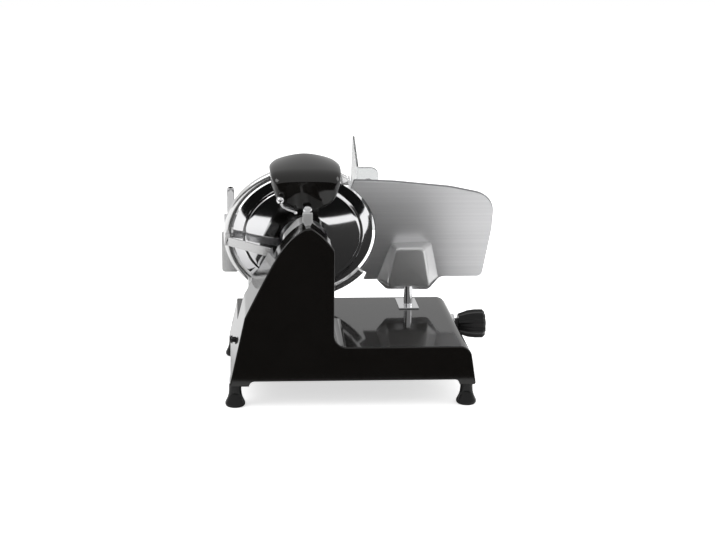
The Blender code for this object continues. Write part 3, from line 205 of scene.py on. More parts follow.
MIDDLE_OF_MACHINE = (0, 0, 0.15)
lamp("lamp_left", (-2.0, -0.9, 1.9), MIDDLE_OF_MACHINE, (1.4, 1.4), 22)
lamp("lamp_above", (0.3, 0.6, 2.6), MIDDLE_OF_MACHINE, (2.2, 1.2), 26).visible_glossy = False
lamp("lamp_right", (2.2, 0.2, 1.5), MIDDLE_OF_MACHINE, (1.0, 1.8), 14)
print("lamps:", len(bpy.data.lights))

# %% [markdown]
# Every finish below is procedural: a base shader, and then noise in the piece's own coordinates for
# grain, haze and small marks. One function makes the start that they share.

# %% Shared start of the finishes
SMOOTHEST = 0.02


def noise_over(tree, grain, detail, place):
    """A noise in the piece's own coordinates, its grain lined up with a place where one is given."""
    where = tree.nodes.new("ShaderNodeTexCoord")
    turn = tree.nodes.new("ShaderNodeMapping")
    turn.inputs["Scale"].default_value = grain
    if place:
        turn.vector_type = "TEXTURE"
        turn.inputs["Location"].default_value = place.translation
        turn.inputs["Rotation"].default_value = place.to_euler()
        turn.inputs["Scale"].default_value = [1 / g for g in grain]
    noise = tree.nodes.new("ShaderNodeTexNoise")
    noise.inputs["Scale"].default_value = 1.0
    noise.inputs["Detail"].default_value = detail
    link(tree, where.outputs["Object"], turn.inputs["Vector"])
    link(tree, turn.outputs["Vector"], noise.inputs["Vector"])
    return noise.outputs["Fac"]


def finish(name, colour, metallic, roughness, spread=0.04, grain=(60, 60, 60), bump=0.0, place=None):
    """A finish whose roughness and surface vary with a stretched noise."""
    made = bpy.data.materials.new(name)
    made.use_nodes = True
    tree = made.node_tree
    shader = tree.nodes["Principled BSDF"]
    shader.inputs["Base Color"].default_value = (*colour, 1)
    shader.inputs["Metallic"].default_value = metallic
    noise = noise_over(tree, grain, 4.0, place)
    remap = tree.nodes.new("ShaderNodeMapRange")
    remap.inputs["To Min"].default_value = max(roughness - spread, SMOOTHEST)
    remap.inputs["To Max"].default_value = roughness + spread
    link(tree, noise, remap.inputs["Value"])
    link(tree, remap.outputs["Result"], shader.inputs["Roughness"])
    if bump:
        dents = tree.nodes.new("ShaderNodeBump")
        dents.inputs["Strength"].default_value = 1.0
        dents.inputs["Distance"].default_value = bump
        link(tree, noise, dents.inputs["Height"])
        link(tree, dents.outputs["Normal"], shader.inputs["Normal"])
    return made


print("a finish's roughness stays above", SMOOTHEST)

# %% [markdown]
# Two more helpers change a finish. Real metal and paint drift in colour from place to place, so tint
# mixes two near colours over a noise. A panel that leans back by a hair reflects a higher part of the
# room, and turn_up leans the shader's normal instead of the shape.

# %% Drift of colour and lean
def tint(made, colour, other, grain, place=None):
    """Let a finish's colour drift between two colours over a noise of its own."""
    tree = made.node_tree
    mix = tree.nodes.new("ShaderNodeMix")
    mix.data_type = "RGBA"
    mix.inputs["A"].default_value = (*colour, 1)
    mix.inputs["B"].default_value = (*other, 1)
    link(tree, noise_over(tree, grain, 3.0, place), mix.inputs["Factor"])
    link(tree, mix.outputs["Result"], tree.nodes["Principled BSDF"].inputs["Base Color"])


def turn_up(made, amount):
    """Lean every facet of a finish a little upwards, as a panel that isn't quite upright would."""
    tree = made.node_tree
    shader = tree.nodes["Principled BSDF"]
    links = shader.inputs["Normal"].links
    if links:
        source = links[0].from_socket
    else:
        source = tree.nodes.new("ShaderNodeNewGeometry").outputs["Normal"]
    leaning = tree.nodes.new("ShaderNodeVectorMath")
    leaning.inputs[1].default_value = (0, 0, amount)
    upright = tree.nodes.new("ShaderNodeVectorMath")
    upright.operation = "NORMALIZE"
    link(tree, source, leaning.inputs[0])
    link(tree, leaning.outputs["Vector"], upright.inputs[0])
    link(tree, upright.outputs["Vector"], shader.inputs["Normal"])


print("finishes are mixed by finish, tint and turn_up")

# %% [markdown]
# Black enamel is a thick glossy coat. It reads as real when its reflections waver very slightly, like
# orange peel, so its bump is a few thousandths of a millimetre high. Plastic and rubber are duller and
# nearly as dark.

# %% Enamel, plastic and rubber
ENAMEL_COLOUR = (0.0055, 0.0050, 0.0045)
PANEL_LEAN = 0.055
enamel = finish("black_enamel", ENAMEL_COLOUR, 0.0, 0.07, 0.03, (180, 180, 180), 0.000004)
tint(enamel, ENAMEL_COLOUR, (0.008, 0.0072, 0.0065), (30, 30, 30))
turn_up(enamel, PANEL_LEAN)
plastic = finish("black_plastic", (0.010, 0.010, 0.010), 0.0, 0.18, 0.04, (500, 500, 500), 0.000005)
tint(plastic, (0.004, 0.004, 0.004), (0.008, 0.008, 0.008), (90, 90, 90))
rubber = finish("black_rubber", (0.012, 0.012, 0.012), 0.0, 0.14, 0.05, (300, 300, 300), 0.000006)
tint(rubber, (0.004, 0.004, 0.004), (0.008, 0.008, 0.008), (60, 60, 60))
DULL_SHINE = 0.3
for dark in (plastic, rubber):
    dark.node_tree.nodes["Principled BSDF"].inputs["Specular IOR Level"].default_value = DULL_SHINE
green = finish("green_plastic", (0.03, 0.30, 0.08), 0.0, 0.30, 0.05, (500, 500, 500), 0.00001)
red = finish("red_plastic", (0.50, 0.03, 0.02), 0.0, 0.30, 0.05, (500, 500, 500), 0.00001)
print("coats:", enamel.name, plastic.name, rubber.name, green.name, red.name)

# %% [markdown]
# The metals differ in how they were worked. Sheet aluminium is brushed in straight lines, so its noise
# is stretched a hundredfold or more along the grain. Castings are polished and nearly even, and steel
# parts were turned or ground.

# %% Metals
brushed = finish("brushed_aluminium", (0.60, 0.60, 0.61), 0.72, 0.38, 0.10, (5, 900, 900), 0.000012,
                 BLADE_PLACE)
tint(brushed, (0.74, 0.74, 0.75), (0.88, 0.88, 0.89), (3, 300, 300), BLADE_PLACE)
satin = finish("satin_aluminium", (0.80, 0.80, 0.80), 0.70, 0.33, 0.03, (260, 260, 260), 0.000004)
tint(satin, (0.74, 0.74, 0.74), (0.86, 0.86, 0.86), (30, 30, 30))
cast = finish("cast_aluminium", (0.66, 0.66, 0.66), 0.80, 0.25, 0.015, (90, 90, 90))
tint(cast, (0.74, 0.74, 0.74), (0.80, 0.80, 0.80), (40, 40, 40))
polished = finish("polished_aluminium", (0.86, 0.86, 0.87), 0.92, 0.19, 0.04, (30, 300, 300), 0.000002)
tint(polished, (0.78, 0.78, 0.79), (0.88, 0.88, 0.89), (20, 20, 20))
ring_metal = finish("bright_ring", (0.92, 0.92, 0.92), 0.88, 0.17, 0.03, (60, 60, 60))
tint(ring_metal, (0.88, 0.88, 0.88), (0.95, 0.95, 0.95), (25, 25, 25))
# The dark rim is a painted dark reflection: darker metal along the gauge plate's edge, standing in for the
# dark room that the edge reflects.
rim_painted_dark_reflection = finish("painted_dark_reflection_rim", (0.34, 0.34, 0.35), 0.9, 0.30, 0.04, (80, 80, 80))
tint(rim_painted_dark_reflection, (0.30, 0.30, 0.31), (0.40, 0.40, 0.41), (30, 30, 30))
steel = finish("machined_steel", (0.50, 0.50, 0.51), 1.0, 0.32, 0.08, (260, 260, 260), 0.00001)
tint(steel, (0.44, 0.44, 0.45), (0.58, 0.58, 0.59), (60, 60, 60))
chrome = finish("chrome", (0.86, 0.86, 0.87), 1.0, 0.06, 0.03, (200, 200, 200), 0.000003)
tint(chrome, (0.83, 0.83, 0.84), (0.90, 0.90, 0.91), (30, 30, 30))
stone = finish("bonded_abrasive", (0.42, 0.38, 0.35), 0.0, 0.9, 0.08, (2500, 2500, 2500), 0.0001)
tint(stone, (0.34, 0.30, 0.28), (0.55, 0.51, 0.48), (1800, 1800, 1800))
print("materials so far:", len(bpy.data.materials))

# %% [markdown]
# A blade is ground while it spins, so its grain runs in circles round the hub. Light that falls on such
# grain gathers into the bright wedges that every turned disc shows. The shader's tangent is set along
# the grain: the axis crossed with the way out from the hub.

# %% The blade's circular grain
RINGS_PER_METRE = 900
BRIGHTEST_RING, DULLEST_RING = 0.8, 1.3


def turned_finish(name, colour, roughness, stretch, place, lean=0.0):
    """A metal finish whose grain runs in circles round a place's own Y axis."""
    made = bpy.data.materials.new(name)
    made.use_nodes = True
    tree = made.node_tree
    shader = tree.nodes["Principled BSDF"]
    shader.inputs["Base Color"].default_value = (*colour, 1)
    shader.inputs["Metallic"].default_value = 1.0
    shader.inputs["Anisotropic"].default_value = stretch
    where = tree.nodes.new("ShaderNodeTexCoord")
    outward = tree.nodes.new("ShaderNodeVectorMath")
    outward.operation = "SUBTRACT"
    outward.inputs[1].default_value = place.translation
    tangent = tree.nodes.new("ShaderNodeVectorMath")
    tangent.operation = "CROSS_PRODUCT"
    tangent.inputs[0].default_value = place.to_3x3() @ Vector((0, 1, 0))
    straight = tree.nodes.new("ShaderNodeVectorMath")
    straight.operation = "NORMALIZE"
    distance = tree.nodes.new("ShaderNodeVectorMath")
    distance.operation = "LENGTH"
    rings = tree.nodes.new("ShaderNodeTexNoise")
    rings.noise_dimensions = "1D"
    rings.inputs["Scale"].default_value = RINGS_PER_METRE
    rings.inputs["Detail"].default_value = 3
    remap = tree.nodes.new("ShaderNodeMapRange")
    remap.inputs["To Min"].default_value = roughness * BRIGHTEST_RING
    remap.inputs["To Max"].default_value = roughness * DULLEST_RING
    link(tree, where.outputs["Object"], outward.inputs[0])
    link(tree, outward.outputs["Vector"], tangent.inputs[1])
    link(tree, tangent.outputs["Vector"], straight.inputs[0])
    link(tree, straight.outputs["Vector"], shader.inputs["Tangent"])
    link(tree, outward.outputs["Vector"], distance.inputs[0])
    link(tree, distance.outputs["Value"], rings.inputs["W"])
    link(tree, rings.outputs["Fac"], remap.inputs["Value"])
    link(tree, remap.outputs["Result"], shader.inputs["Roughness"])
    if lean:
        turn_up(made, lean)
    return made


BLADE_LEAN = 0.10
blade_steel = turned_finish("mirror_steel", (0.86, 0.86, 0.87), 0.06, 0.4, BLADE_PLACE, BLADE_LEAN)
cover_metal = turned_finish("turned_cover", (0.72, 0.72, 0.73), 0.28, 0.6, BLADE_PLACE)
print("turned finishes:", blade_steel.name, cover_metal.name)

# %% [markdown]
# The guard at the operator's hand is a clear sheet. Only its edges and a faint reflection show, so it
# lets light through with a thin, nearly colourless glass shader.

# %% Clear sheet
clear = finish("clear_sheet", (0.96, 0.98, 0.98), 0.0, 0.06, 0.02, (120, 120, 120))
clear_shader = clear.node_tree.nodes["Principled BSDF"]
clear_shader.inputs["Transmission Weight"].default_value = 0.92
clear_shader.inputs["IOR"].default_value = 1.35
print("clear sheet:", clear.name)

# %% [markdown]
# Every piece of the frame gets the finish of the real one. A piece that is only copied and softened
# further down takes its finish from here.

# %% Give every carried-over piece its finish
FINISHES = {
    enamel: ("body_casting", "sharpener_cover"),
    rubber: ("foot_front_left", "foot_front_right", "foot_rear_left", "foot_rear_right", "drive_belt",
             "cable_gland"),
    plastic: ("driven_pulley", "deflector_knob", "cover_knob", "thickness_knob", "tray_handle", "pusher_grip",
              "switch_body"),
    steel: ("base_plate", "blade_shaft", "blade_screw_1", "blade_screw_2", "blade_screw_3", "bearing_front",
            "bearing_rear", "motor_body", "motor_bracket", "motor_pulley", "gauge_slider", "gauge_rod",
            "spiral_cam", "carriage_rail", "carriage_slider", "deburr_carrier"),
    blade_steel: ("blade",),
    cover_metal: ("blade_cover",),
    satin: ("hub_cover",),
    polished: ("tray", "blade_guard"),
    brushed: ("gauge_plate", "gauge_boss"),
    cast: ("guard_stand", "slice_deflector", "gauge_bracket", "carriage_arm", "end_plate", "pusher_collar",
           "pusher_sleeve", "pusher_plate", "sharpener_housing", "sharpener_arm"),
    chrome: ("gauge_column", "slot_cover", "dial_ring", "slide_rod", "sharpening_button", "deburr_lever"),
    clear: ("hand_guard",),
    stone: ("grinding_stone", "deburring_stone"),
    green: ("on_button",),
    red: ("off_button",),
}
dressed = 0
for surface, names in FINISHES.items():
    for name in names:
        nodes[name].data.materials.clear()
        nodes[name].data.materials.append(surface)
        dressed += 1
print("dressed", dressed, "of", len(nodes), "pieces")

# %% [markdown]
# New pieces are drawn as the real ones are made, and most start as an outline. Its corners are rounded
# to a radius, as a cutter leaves them. It can be moved inwards by a wall's thickness, and a swelling side
# runs smoothly through a few measured points.

# %% Outlines
def filleted(corners, step=8):
    """An outline's points, with each corner (x, y, radius) turned into an arc of short chords."""
    points = []
    for k, (x, y, radius) in enumerate(corners):
        here = Vector((x, y))
        back = (Vector(corners[k - 1][:2]) - here).normalized()
        ahead = (Vector(corners[(k + 1) % len(corners)][:2]) - here).normalized()
        if not radius:
            points.append((x, y))
            continue
        half = back.angle(ahead) / 2
        reach = radius / abs(tan(half))
        middle = here + (back + ahead).normalized() * (radius / sin(half))
        start = here + back * reach - middle
        sweep = start.angle_signed(here + ahead * reach - middle)
        pieces = max(2, ceil(abs(degrees(sweep)) / step))
        for j in range(pieces + 1):
            turned = start.copy()
            turned.rotate(Matrix.Rotation(-sweep * j / pieces, 2))
            points.append(tuple(middle + turned))
    return points


def drawn_in(line, wall):
    """A line that runs anticlockwise, moved inwards by a wall's thickness."""
    drawn = []
    for k, point in enumerate(line):
        here = Vector(point)
        back = here - Vector(line[k - 1])
        ahead = Vector(line[(k + 1) % len(line)]) - here
        way = (back.normalized() + ahead.normalized()).normalized()
        drawn.append(tuple(here + Vector((-way.y, way.x)) * wall))
    return drawn


def through(points, each, closed=True):
    """A smooth line through points: so many short chords between each two."""
    line = []
    count = len(points)
    spans = count if closed else count - 1
    for k in range(spans):
        if closed:
            a, b, c, d = (Vector(points[(k + j - 1) % count]) for j in range(4))
        else:
            a, b, c, d = (Vector(points[min(max(k + j - 1, 0), count - 1)]) for j in range(4))
        for j in range(each):
            t = j / each
            line.append(0.5 * (2 * b + (c - a) * t + (2 * a - 5 * b + 4 * c - d) * t * t
                               + (3 * b - a - 3 * c + d) * t * t * t))
    if not closed:
        line.append(Vector(points[-1]))
    return [tuple(p) for p in line]


SQUARE = [(0, 0, 0.1), (1, 0, 0.1), (1, 1, 0.1), (0, 1, 0.1)]
print("a square with rounded corners has", len(filleted(SQUARE)), "points")

# %% [markdown]
# Every new piece is finished in the same way. Its place goes into its mesh, so that it sits at the
# origin as the frame's pieces do. Its shading is smooth except over sharp edges, and its large flat
# faces are kept flat by weighted normals. Then it rides on its body in place of the frame's piece.

# %% Finishing a piece
def take(piece):
    """Select one piece alone, so that the next step works on it."""
    bpy.ops.object.select_all(action="DESELECT")
    piece.select_set(True)
    bpy.context.view_layer.objects.active = piece


def settle(piece, node, body, surface, angle, flatten=True):
    """Finish a piece: at the origin, shaded, dressed, riding on its body in place of the frame's piece."""
    take(piece)
    bpy.ops.object.transform_apply(location=True, rotation=True, scale=True)
    bpy.ops.object.shade_smooth_by_angle(angle=radians(angle))
    if flatten:
        flat = piece.modifiers.new("flat_faces", "WEIGHTED_NORMAL")
        flat.keep_sharp = True
        flat.weight = 80
        bpy.ops.object.modifier_apply(modifier=flat.name)
    piece.data.materials.clear()
    piece.data.materials.append(surface)
    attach(piece, body)
    if node:
        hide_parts(node)
    print(piece.name, len(piece.data.polygons), "faces", [round(v, 3) for v in piece.dimensions])


print("take and settle finish a piece")

# %% [markdown]
# A slab is a flat outline pushed to a thickness, with its edges softened like a moulding's. A curve
# object does both at once, and a mesh is made of it.

# %% Slabs
DOUBLE = 0.00002


def slab(name, outline, low, high, turn, soft=0.0, steps=3):
    """A flat outline pushed from low to high and placed by a matrix, with its edges softened."""
    line = bpy.data.curves.new(name, "CURVE")
    line.dimensions = "2D"
    line.fill_mode = "BOTH"
    line.extrude = (high - low) / 2 - soft
    line.bevel_depth = soft
    line.bevel_resolution = steps
    line.offset = -soft
    run = line.splines.new("POLY")
    run.points.add(len(outline) - 1)
    for point, (x, y) in zip(run.points, outline):
        point.co = (x, y, 0, 1)
    run.use_cyclic_u = True
    piece = bpy.data.objects.new(name, line)
    bpy.context.collection.objects.link(piece)
    piece.matrix_world = turn @ Matrix.Translation((0, 0, (low + high) / 2))
    take(piece)
    bpy.ops.object.convert(target="MESH")
    bpy.ops.object.mode_set(mode="EDIT")
    bpy.ops.mesh.select_all(action="SELECT")
    bpy.ops.mesh.remove_doubles(threshold=DOUBLE)
    bpy.ops.mesh.normals_make_consistent(inside=False)
    bpy.ops.object.mode_set(mode="OBJECT")
    return bpy.context.object


print("points of a slab closer than", DOUBLE, "m are merged")

# %% [markdown]
# A shape that is no slab is skinned: closed rings of as many points each stand one behind the other, and
# faces join them. A turned part is the same, with its profile as the ring, carried round an axis.

# %% Skins and turned parts
def skin(name, rings, turn, loop=False):
    """A surface through closed rings of as many points each, capped at both ends or closed on itself."""
    shape = bmesh.new()
    rows = [[shape.verts.new(p) for p in ring] for ring in rings]
    pairs = list(zip(rows, rows[1:])) + ([(rows[-1], rows[0])] if loop else [])
    for near, far in pairs:
        for k in range(len(near)):
            after = (k + 1) % len(near)
            shape.faces.new((near[k], near[after], far[after], far[k]))
    if not loop:
        shape.faces.new(list(reversed(rows[0])))
        shape.faces.new(rows[-1])
    bmesh.ops.recalc_face_normals(shape, faces=shape.faces)
    data = bpy.data.meshes.new(name)
    shape.to_mesh(data)
    shape.free()
    piece = bpy.data.objects.new(name, data)
    bpy.context.collection.objects.link(piece)
    piece.matrix_world = turn
    return piece


def turned_part(name, profile, turn, steps=96, sweep=360.0, start=0.0):
    """A closed profile of (radius, along) turned round the along axis, which is the matrix's Z."""
    whole = sweep >= 360.0
    count = steps if whole else steps + 1
    rings = []
    for k in range(count):
        angle = radians(start + sweep * k / steps)
        rings.append([(r * cos(angle), r * sin(angle), h) for r, h in profile])
    return skin(name, rings, turn, loop=whole)


print("skin and turned_part make the curved pieces")

# %% [markdown]
# Saws and drills are other such shapes, taken away from a piece. The same step joins two shapes, or keeps
# what they share.

# %% Saws and drills
def carve(piece, *tools, how="DIFFERENCE"):
    """Take tools away from a piece, or join them to it, or keep what they share."""
    for tool in tools:
        change = piece.modifiers.new("carve", "BOOLEAN")
        change.operation = how
        change.object = tool
        change.solver = "EXACT"
        take(piece)
        bpy.ops.object.modifier_apply(modifier=change.name)
        gone = tool.data
        bpy.data.objects.remove(tool)
        bpy.data.meshes.remove(gone)
    return piece


def drill(radius, low, high, turn, steps=40):
    """A round bar along the matrix's Z, for a hole or a boss."""
    bpy.ops.mesh.primitive_cylinder_add(vertices=steps, radius=radius, depth=high - low)
    made = bpy.context.object
    made.matrix_world = turn @ Matrix.Translation((0, 0, (low + high) / 2))
    return made


def block(low, high, turn):
    """A plain block between two corners, for a notch."""
    bpy.ops.mesh.primitive_cube_add(size=1)
    made = bpy.context.object
    low, high = Vector(low), Vector(high)
    made.matrix_world = turn @ Matrix.Translation((low + high) / 2) @ Matrix.Diagonal((*(high - low), 1))
    return made


print("carve, drill and block cut the openings")

# %% [markdown]
# An outline is flat, so it needs a plane to be drawn on. These are the machine's front and its side, and
# the blade's face and its side.

# %% Planes to draw on
ALONG_Y = Matrix.Rotation(radians(90), 4, "X")
ALONG_X = Matrix(((0, 0, 1, 0), (1, 0, 0, 0), (0, 1, 0, 0), (0, 0, 0, 1)))
PANEL = MACHINE_PLACE @ ALONG_Y
SIDE = MACHINE_PLACE @ ALONG_X
BLADE_FACE = BLADE_PLACE @ ALONG_Y
BLADE_SIDE = BLADE_PLACE @ ALONG_X
print("the blade faces", tuple(round(v, 3) for v in BLADE_FACE.col[2][:3]))

# %% [markdown]
# The casting is the black body: a low base with a tower on its left. From the front it is one outline,
# and its top is a pointed arch whose sides swell.

# %% Outline of the body
DEPTH = 0.284
BASE_TOP = 0.092
FOOTLINE = 0.033
BODY_RIGHT = 0.382
RIGHT_LEAN = 0.0095
FLANK_AT_FOOT = 0.014
FLANK_SPREAD = 0.026
SHOULDER = 0.138
TOWER_RIGHT = 0.171
ARCH = [(0.0400, SHOULDER), (0.0551, 0.1683), (0.0697, 0.1970), (0.0842, 0.2235), (0.0930, 0.2378),
        (0.1072, 0.2548), (0.1210, 0.2656), (0.1325, 0.2712), (0.1400, 0.2690), (0.1530, 0.2590),
        (0.1640, 0.2470), (0.1700, 0.2385), (0.1710, 0.2290)]


def right_of_body(height):
    """How far right the base's right flank stands at a height."""
    return BODY_RIGHT - RIGHT_LEAN * (height - FOOTLINE) / (BASE_TOP - FOOTLINE)


def left_of_body(height):
    """How far right the body's left flank stands at a height."""
    return FLANK_AT_FOOT + FLANK_SPREAD * (height - FOOTLINE) / (SHOULDER - FOOTLINE)


def body_outline(wall, bottom):
    """The body seen from the front, drawn in by a wall's thickness."""
    foot = filleted([(left_of_body(bottom), bottom, 0.003), (right_of_body(bottom), bottom, 0.003),
                     (right_of_body(BASE_TOP), BASE_TOP, 0.018), (TOWER_RIGHT, BASE_TOP, 0.020),
                     (*ARCH[-1], 0.0)])[:-1]
    return drawn_in(foot + list(reversed(through(ARCH, 4, closed=False))), wall)


print("body outline:", len(body_outline(0.0, FOOTLINE)), "points")

# %% [markdown]
# The outline is pushed through the body's depth with its panel edge rolled over by 1.8 mm, then cut to
# the base's plan and to the leaning back of the tower. A tube carries the blade's bearings. A real
# casting is a shell, and the same form made smaller by a wall is meant to hollow it.
# Known fault: the body comes out solid. The outline's 3 mm corners fold over when they are drawn in by
# the 4 mm wall, the smaller form turns inside out, its cut to the plan leaves nothing, and so nothing
# is taken away. Corners wider than the wall would mend it.

# %% Body casting
SHELL = 0.004
PANEL_ROLL = 0.0018
TOWER_CAP = 0.048
TOWER_FROM_BLADE = 0.095


def back_of_tower(height):
    """How far back the tower's leaning rear face stands at a height."""
    return HUB_Y - TOWER_FROM_BLADE / cos(TILT) - (height - HUB_Z) * tan(TILT)


def body_form(wall, bottom, soft):
    """The body's form, or the smaller form meant for its hollow where a wall is given."""
    form = slab("body_form", body_outline(wall, bottom), wall - DEPTH, -wall, PANEL, soft)
    far = DEPTH - wall
    right = BODY_RIGHT - wall
    plan = filleted([(0.0, wall, 0), (right, wall, 0.003), (right, far, 0.024 - wall), (0.0, far, 0)])
    top = BASE_TOP - wall
    cap = TOWER_CAP - wall
    ledge = 0.222
    behind = filleted([(cap, 0.40, 0), (cap, ledge, 0.003), (back_of_tower(ledge) - wall, ledge, 0.003),
                       (back_of_tower(top) - wall, top, 0.006), (DEPTH + 0.1, top, 0),
                       (DEPTH + 0.1, 0.40, 0)])
    carve(form, slab("body_plan", plan, -0.1, 0.5, MACHINE_PLACE), how="INTERSECT")
    return carve(form, slab("body_behind", behind, -0.1, 0.4, SIDE))


body = body_form(0.0, FOOTLINE, PANEL_ROLL)
hollow = body_form(SHELL, -0.05, 0.0)
FEET = ((0.0255, 0.015), (0.370, 0.015), (0.0255, 0.269), (0.367, 0.269))
FOOT_SOCKET, FOOT_BOLT = 0.0095, 0.0043
for x, y in FEET:
    carve(hollow, drill(FOOT_SOCKET, -0.06, BASE_TOP, Matrix.Translation(at_machine(x, y, 0))))
carve(body, hollow)
carve(body, drill(0.033, 0.014, 0.097, BLADE_FACE, 64), how="UNION")
print("body and blade bearing tube:", len(body.data.polygons), "faces")

# %% [markdown]
# The casting stands on four legs, so an arch is cut between each two. Then come the slot of the gauge
# column, the slot of the carriage rail, and the holes of the knob, the switch, the cable, the blade's
# shaft, the feet and the rail. They keep the frame's own sizes and places, because other pieces pass
# through them.

# %% Openings in the casting
def under_body(near, far, from_floor, corner):
    """The gap between two legs, seen level."""
    return filleted([(near, -0.02, 0), (far, -0.02, 0), (far, from_floor, corner),
                     (near, from_floor, corner)])


def slot(left, right, low, high, corner):
    """A slot with rounded ends."""
    return filleted([(left, low, corner), (right, low, corner), (right, high, corner), (left, high, corner)])


carve(body, slab("tool", under_body(0.046, 0.358, 0.041, 0.008), -0.4, 0.05, PANEL),
      slab("tool", under_body(0.032, 0.252, 0.041, 0.008), -0.05, 0.5, SIDE),
      slab("tool", slot(0.297, 0.313, 0.204, 0.234, 0.0079), 0.072, 0.112, MACHINE_PLACE),
      slab("tool", slot(0.085, 0.357, 0.049, 0.067, 0.004), -0.304, -0.272, PANEL),
      drill(0.0046, 0.352, 0.392, SIDE @ Matrix.Translation((0.228, 0.061, 0))),
      block((0.352, 0.093, 0.0535), (0.392, 0.127, 0.0745), MACHINE_PLACE),
      drill(0.0046, -0.02, 0.06, SIDE @ Matrix.Translation((0.112, 0.073, 0))),
      drill(0.0178, -0.02, 0.115, BLADE_FACE, 48))
for x, y in FEET:
    carve(body, drill(FOOT_BOLT, 0.02, 0.0455, Matrix.Translation(at_machine(x, y, 0))))
carve(body, drill(0.0038, 0.020, 0.372, SIDE @ Matrix.Translation((0.266, 0.058, 0))))
body.name = "enamelled_body"
settle(body, "body_casting", "base", enamel, 32)

# %% [markdown]
# The sharpener's cover is a glossy shield: wide and crowned above, drawn in to a blunt point below. It
# narrows towards the back, where it meets the guard. Three sections of its right half are drawn, and the
# ones between follow a curve through the three.

# %% Sections of the cover
SHIELD = (
    ((0.0, 0.0888), (0.0170, 0.0902), (0.0335, 0.0957), (0.0450, 0.1070), (0.0500, 0.1220), (0.0512, 0.1375),
     (0.0498, 0.1455), (0.0410, 0.1502), (0.0215, 0.1518), (0.0, 0.1522)),
    ((0.0, 0.0888), (0.0175, 0.0905), (0.0340, 0.0968), (0.0455, 0.1085), (0.0518, 0.1225), (0.0535, 0.1345),
     (0.0520, 0.1405), (0.0430, 0.1450), (0.0230, 0.1480), (0.0, 0.1488)),
    ((0.0, 0.0888), (0.0180, 0.0902), (0.0345, 0.0948), (0.0465, 0.1008), (0.0520, 0.1068), (0.0534, 0.1112),
     (0.0512, 0.1170), (0.0425, 0.1248), (0.0225, 0.1320), (0.0, 0.1353)),
)
COVER_FRONT, COVER_MIDDLE, COVER_BACK = -0.0725, -0.030, 0.024
COVER_CENTRE = 0.118
HALF_WIDTH, HALF_HEIGHT = 0.048, 0.030


def shield(along, inset):
    """One ring of the cover at a depth between its three drawn sections, drawn in by a length or so."""
    near, half_way, far = COVER_FRONT, COVER_MIDDLE, COVER_BACK
    shares = ((along - half_way) * (along - far) / ((near - half_way) * (near - far)),
              (along - near) * (along - far) / ((half_way - near) * (half_way - far)),
              (along - near) * (along - half_way) / ((far - near) * (far - half_way)))
    right = []
    for k in range(len(SHIELD[0])):
        right.append(tuple(sum(share * section[k][axis] for share, section in zip(shares, SHIELD))
                           for axis in (0, 1)))
    left = [(-x, w) for x, w in reversed(right[1:-1])]
    ring = []
    for x, w in through(right + left, 5):
        ring.append((x * (1 - inset / HALF_WIDTH),
                     COVER_CENTRE + (w - COVER_CENTRE) * (1 - inset / HALF_HEIGHT), -along))
    return ring


print("a ring of the cover has", len(shield(COVER_MIDDLE, 0.0)), "points")

# %% [markdown]
# The cover's top face rolls into its front like a quarter of an egg. It is a moulded shell, so a smaller
# one of the same form hollows it. Its underside is sawn open for the blade and the stones, and two holes
# let the spindles of the stones through.

# %% Sharpener cover
COVER_WALL = 0.0025
ROLL_BACK = 0.026
ROLL_IN = 0.0085
ROLL_STEPS = 15
SPINDLES = ((0.002, 0.0985), (-0.016, 0.0955))
SPINDLE_HOLE = 0.0028


def shield_form(name, wall):
    """The cover's solid, or its hollow inside a wall. Its front rolls over like a quarter of an egg."""
    rings = []
    for k in range(ROLL_STEPS, -1, -1):
        angle = radians(88 * k / ROLL_STEPS)
        rings.append(shield(COVER_FRONT + wall + ROLL_BACK * (1 - sin(angle)),
                            wall + ROLL_IN * (1 - cos(angle))))
    far = COVER_BACK - wall
    start = COVER_FRONT + wall + ROLL_BACK
    for k in range(1, 15):
        rings.append(shield(start + (far - 0.003 - start) * k / 14, wall))
    rings.append(shield(far - 0.001, wall + 0.0008))
    rings.append(shield(far, wall + 0.0030))
    return skin(name, rings, BLADE_FACE)


cover = shield_form("shield_cover", 0.0)
underside = [(-0.0825, 0.05), (0.044, 0.05), (0.044, 0.1262), (-0.006, 0.1262), (-0.045, 0.100),
             (-0.072, 0.0885), (-0.0825, 0.0880)]
carve(cover, shield_form("tool", COVER_WALL), slab("tool", underside, -0.1, 0.1, BLADE_SIDE),
      block((-0.0060, -0.0825, 0.07), (0.0060, -0.0485, 0.0950), BLADE_PLACE))
for spindle in SPINDLES:
    carve(cover, drill(SPINDLE_HOLE, 0.0425, 0.0825, BLADE_FACE @ Matrix.Translation((*spindle, 0))))
settle(cover, "sharpener_cover", "sharpener", enamel, 40, flatten=False)

# %% [markdown]
# The blade is a dished steel disc with a mirror polish, ground at its rim. It is turned from one profile.
# Close rings keep its dome smooth, because a mirror shows every flat.

# %% Blade
DISH_TOP = -0.0130
DISH_FALL = 0.0078
DISH_START, DISH_END = 0.0440, 0.0895
DISH_SWELL = 0.0014
DISH_STEPS = 14
SCREW_HOLE, SCREW_CIRCLE, FIRST_SCREW = 0.0028, 0.021, 92


def dome(radius):
    """How far the blade's polished face stands out at a radius."""
    t = (radius - DISH_START) / (DISH_END - DISH_START)
    return DISH_TOP + DISH_FALL * t - DISH_SWELL * 4 * t * (1 - t) * 0.5


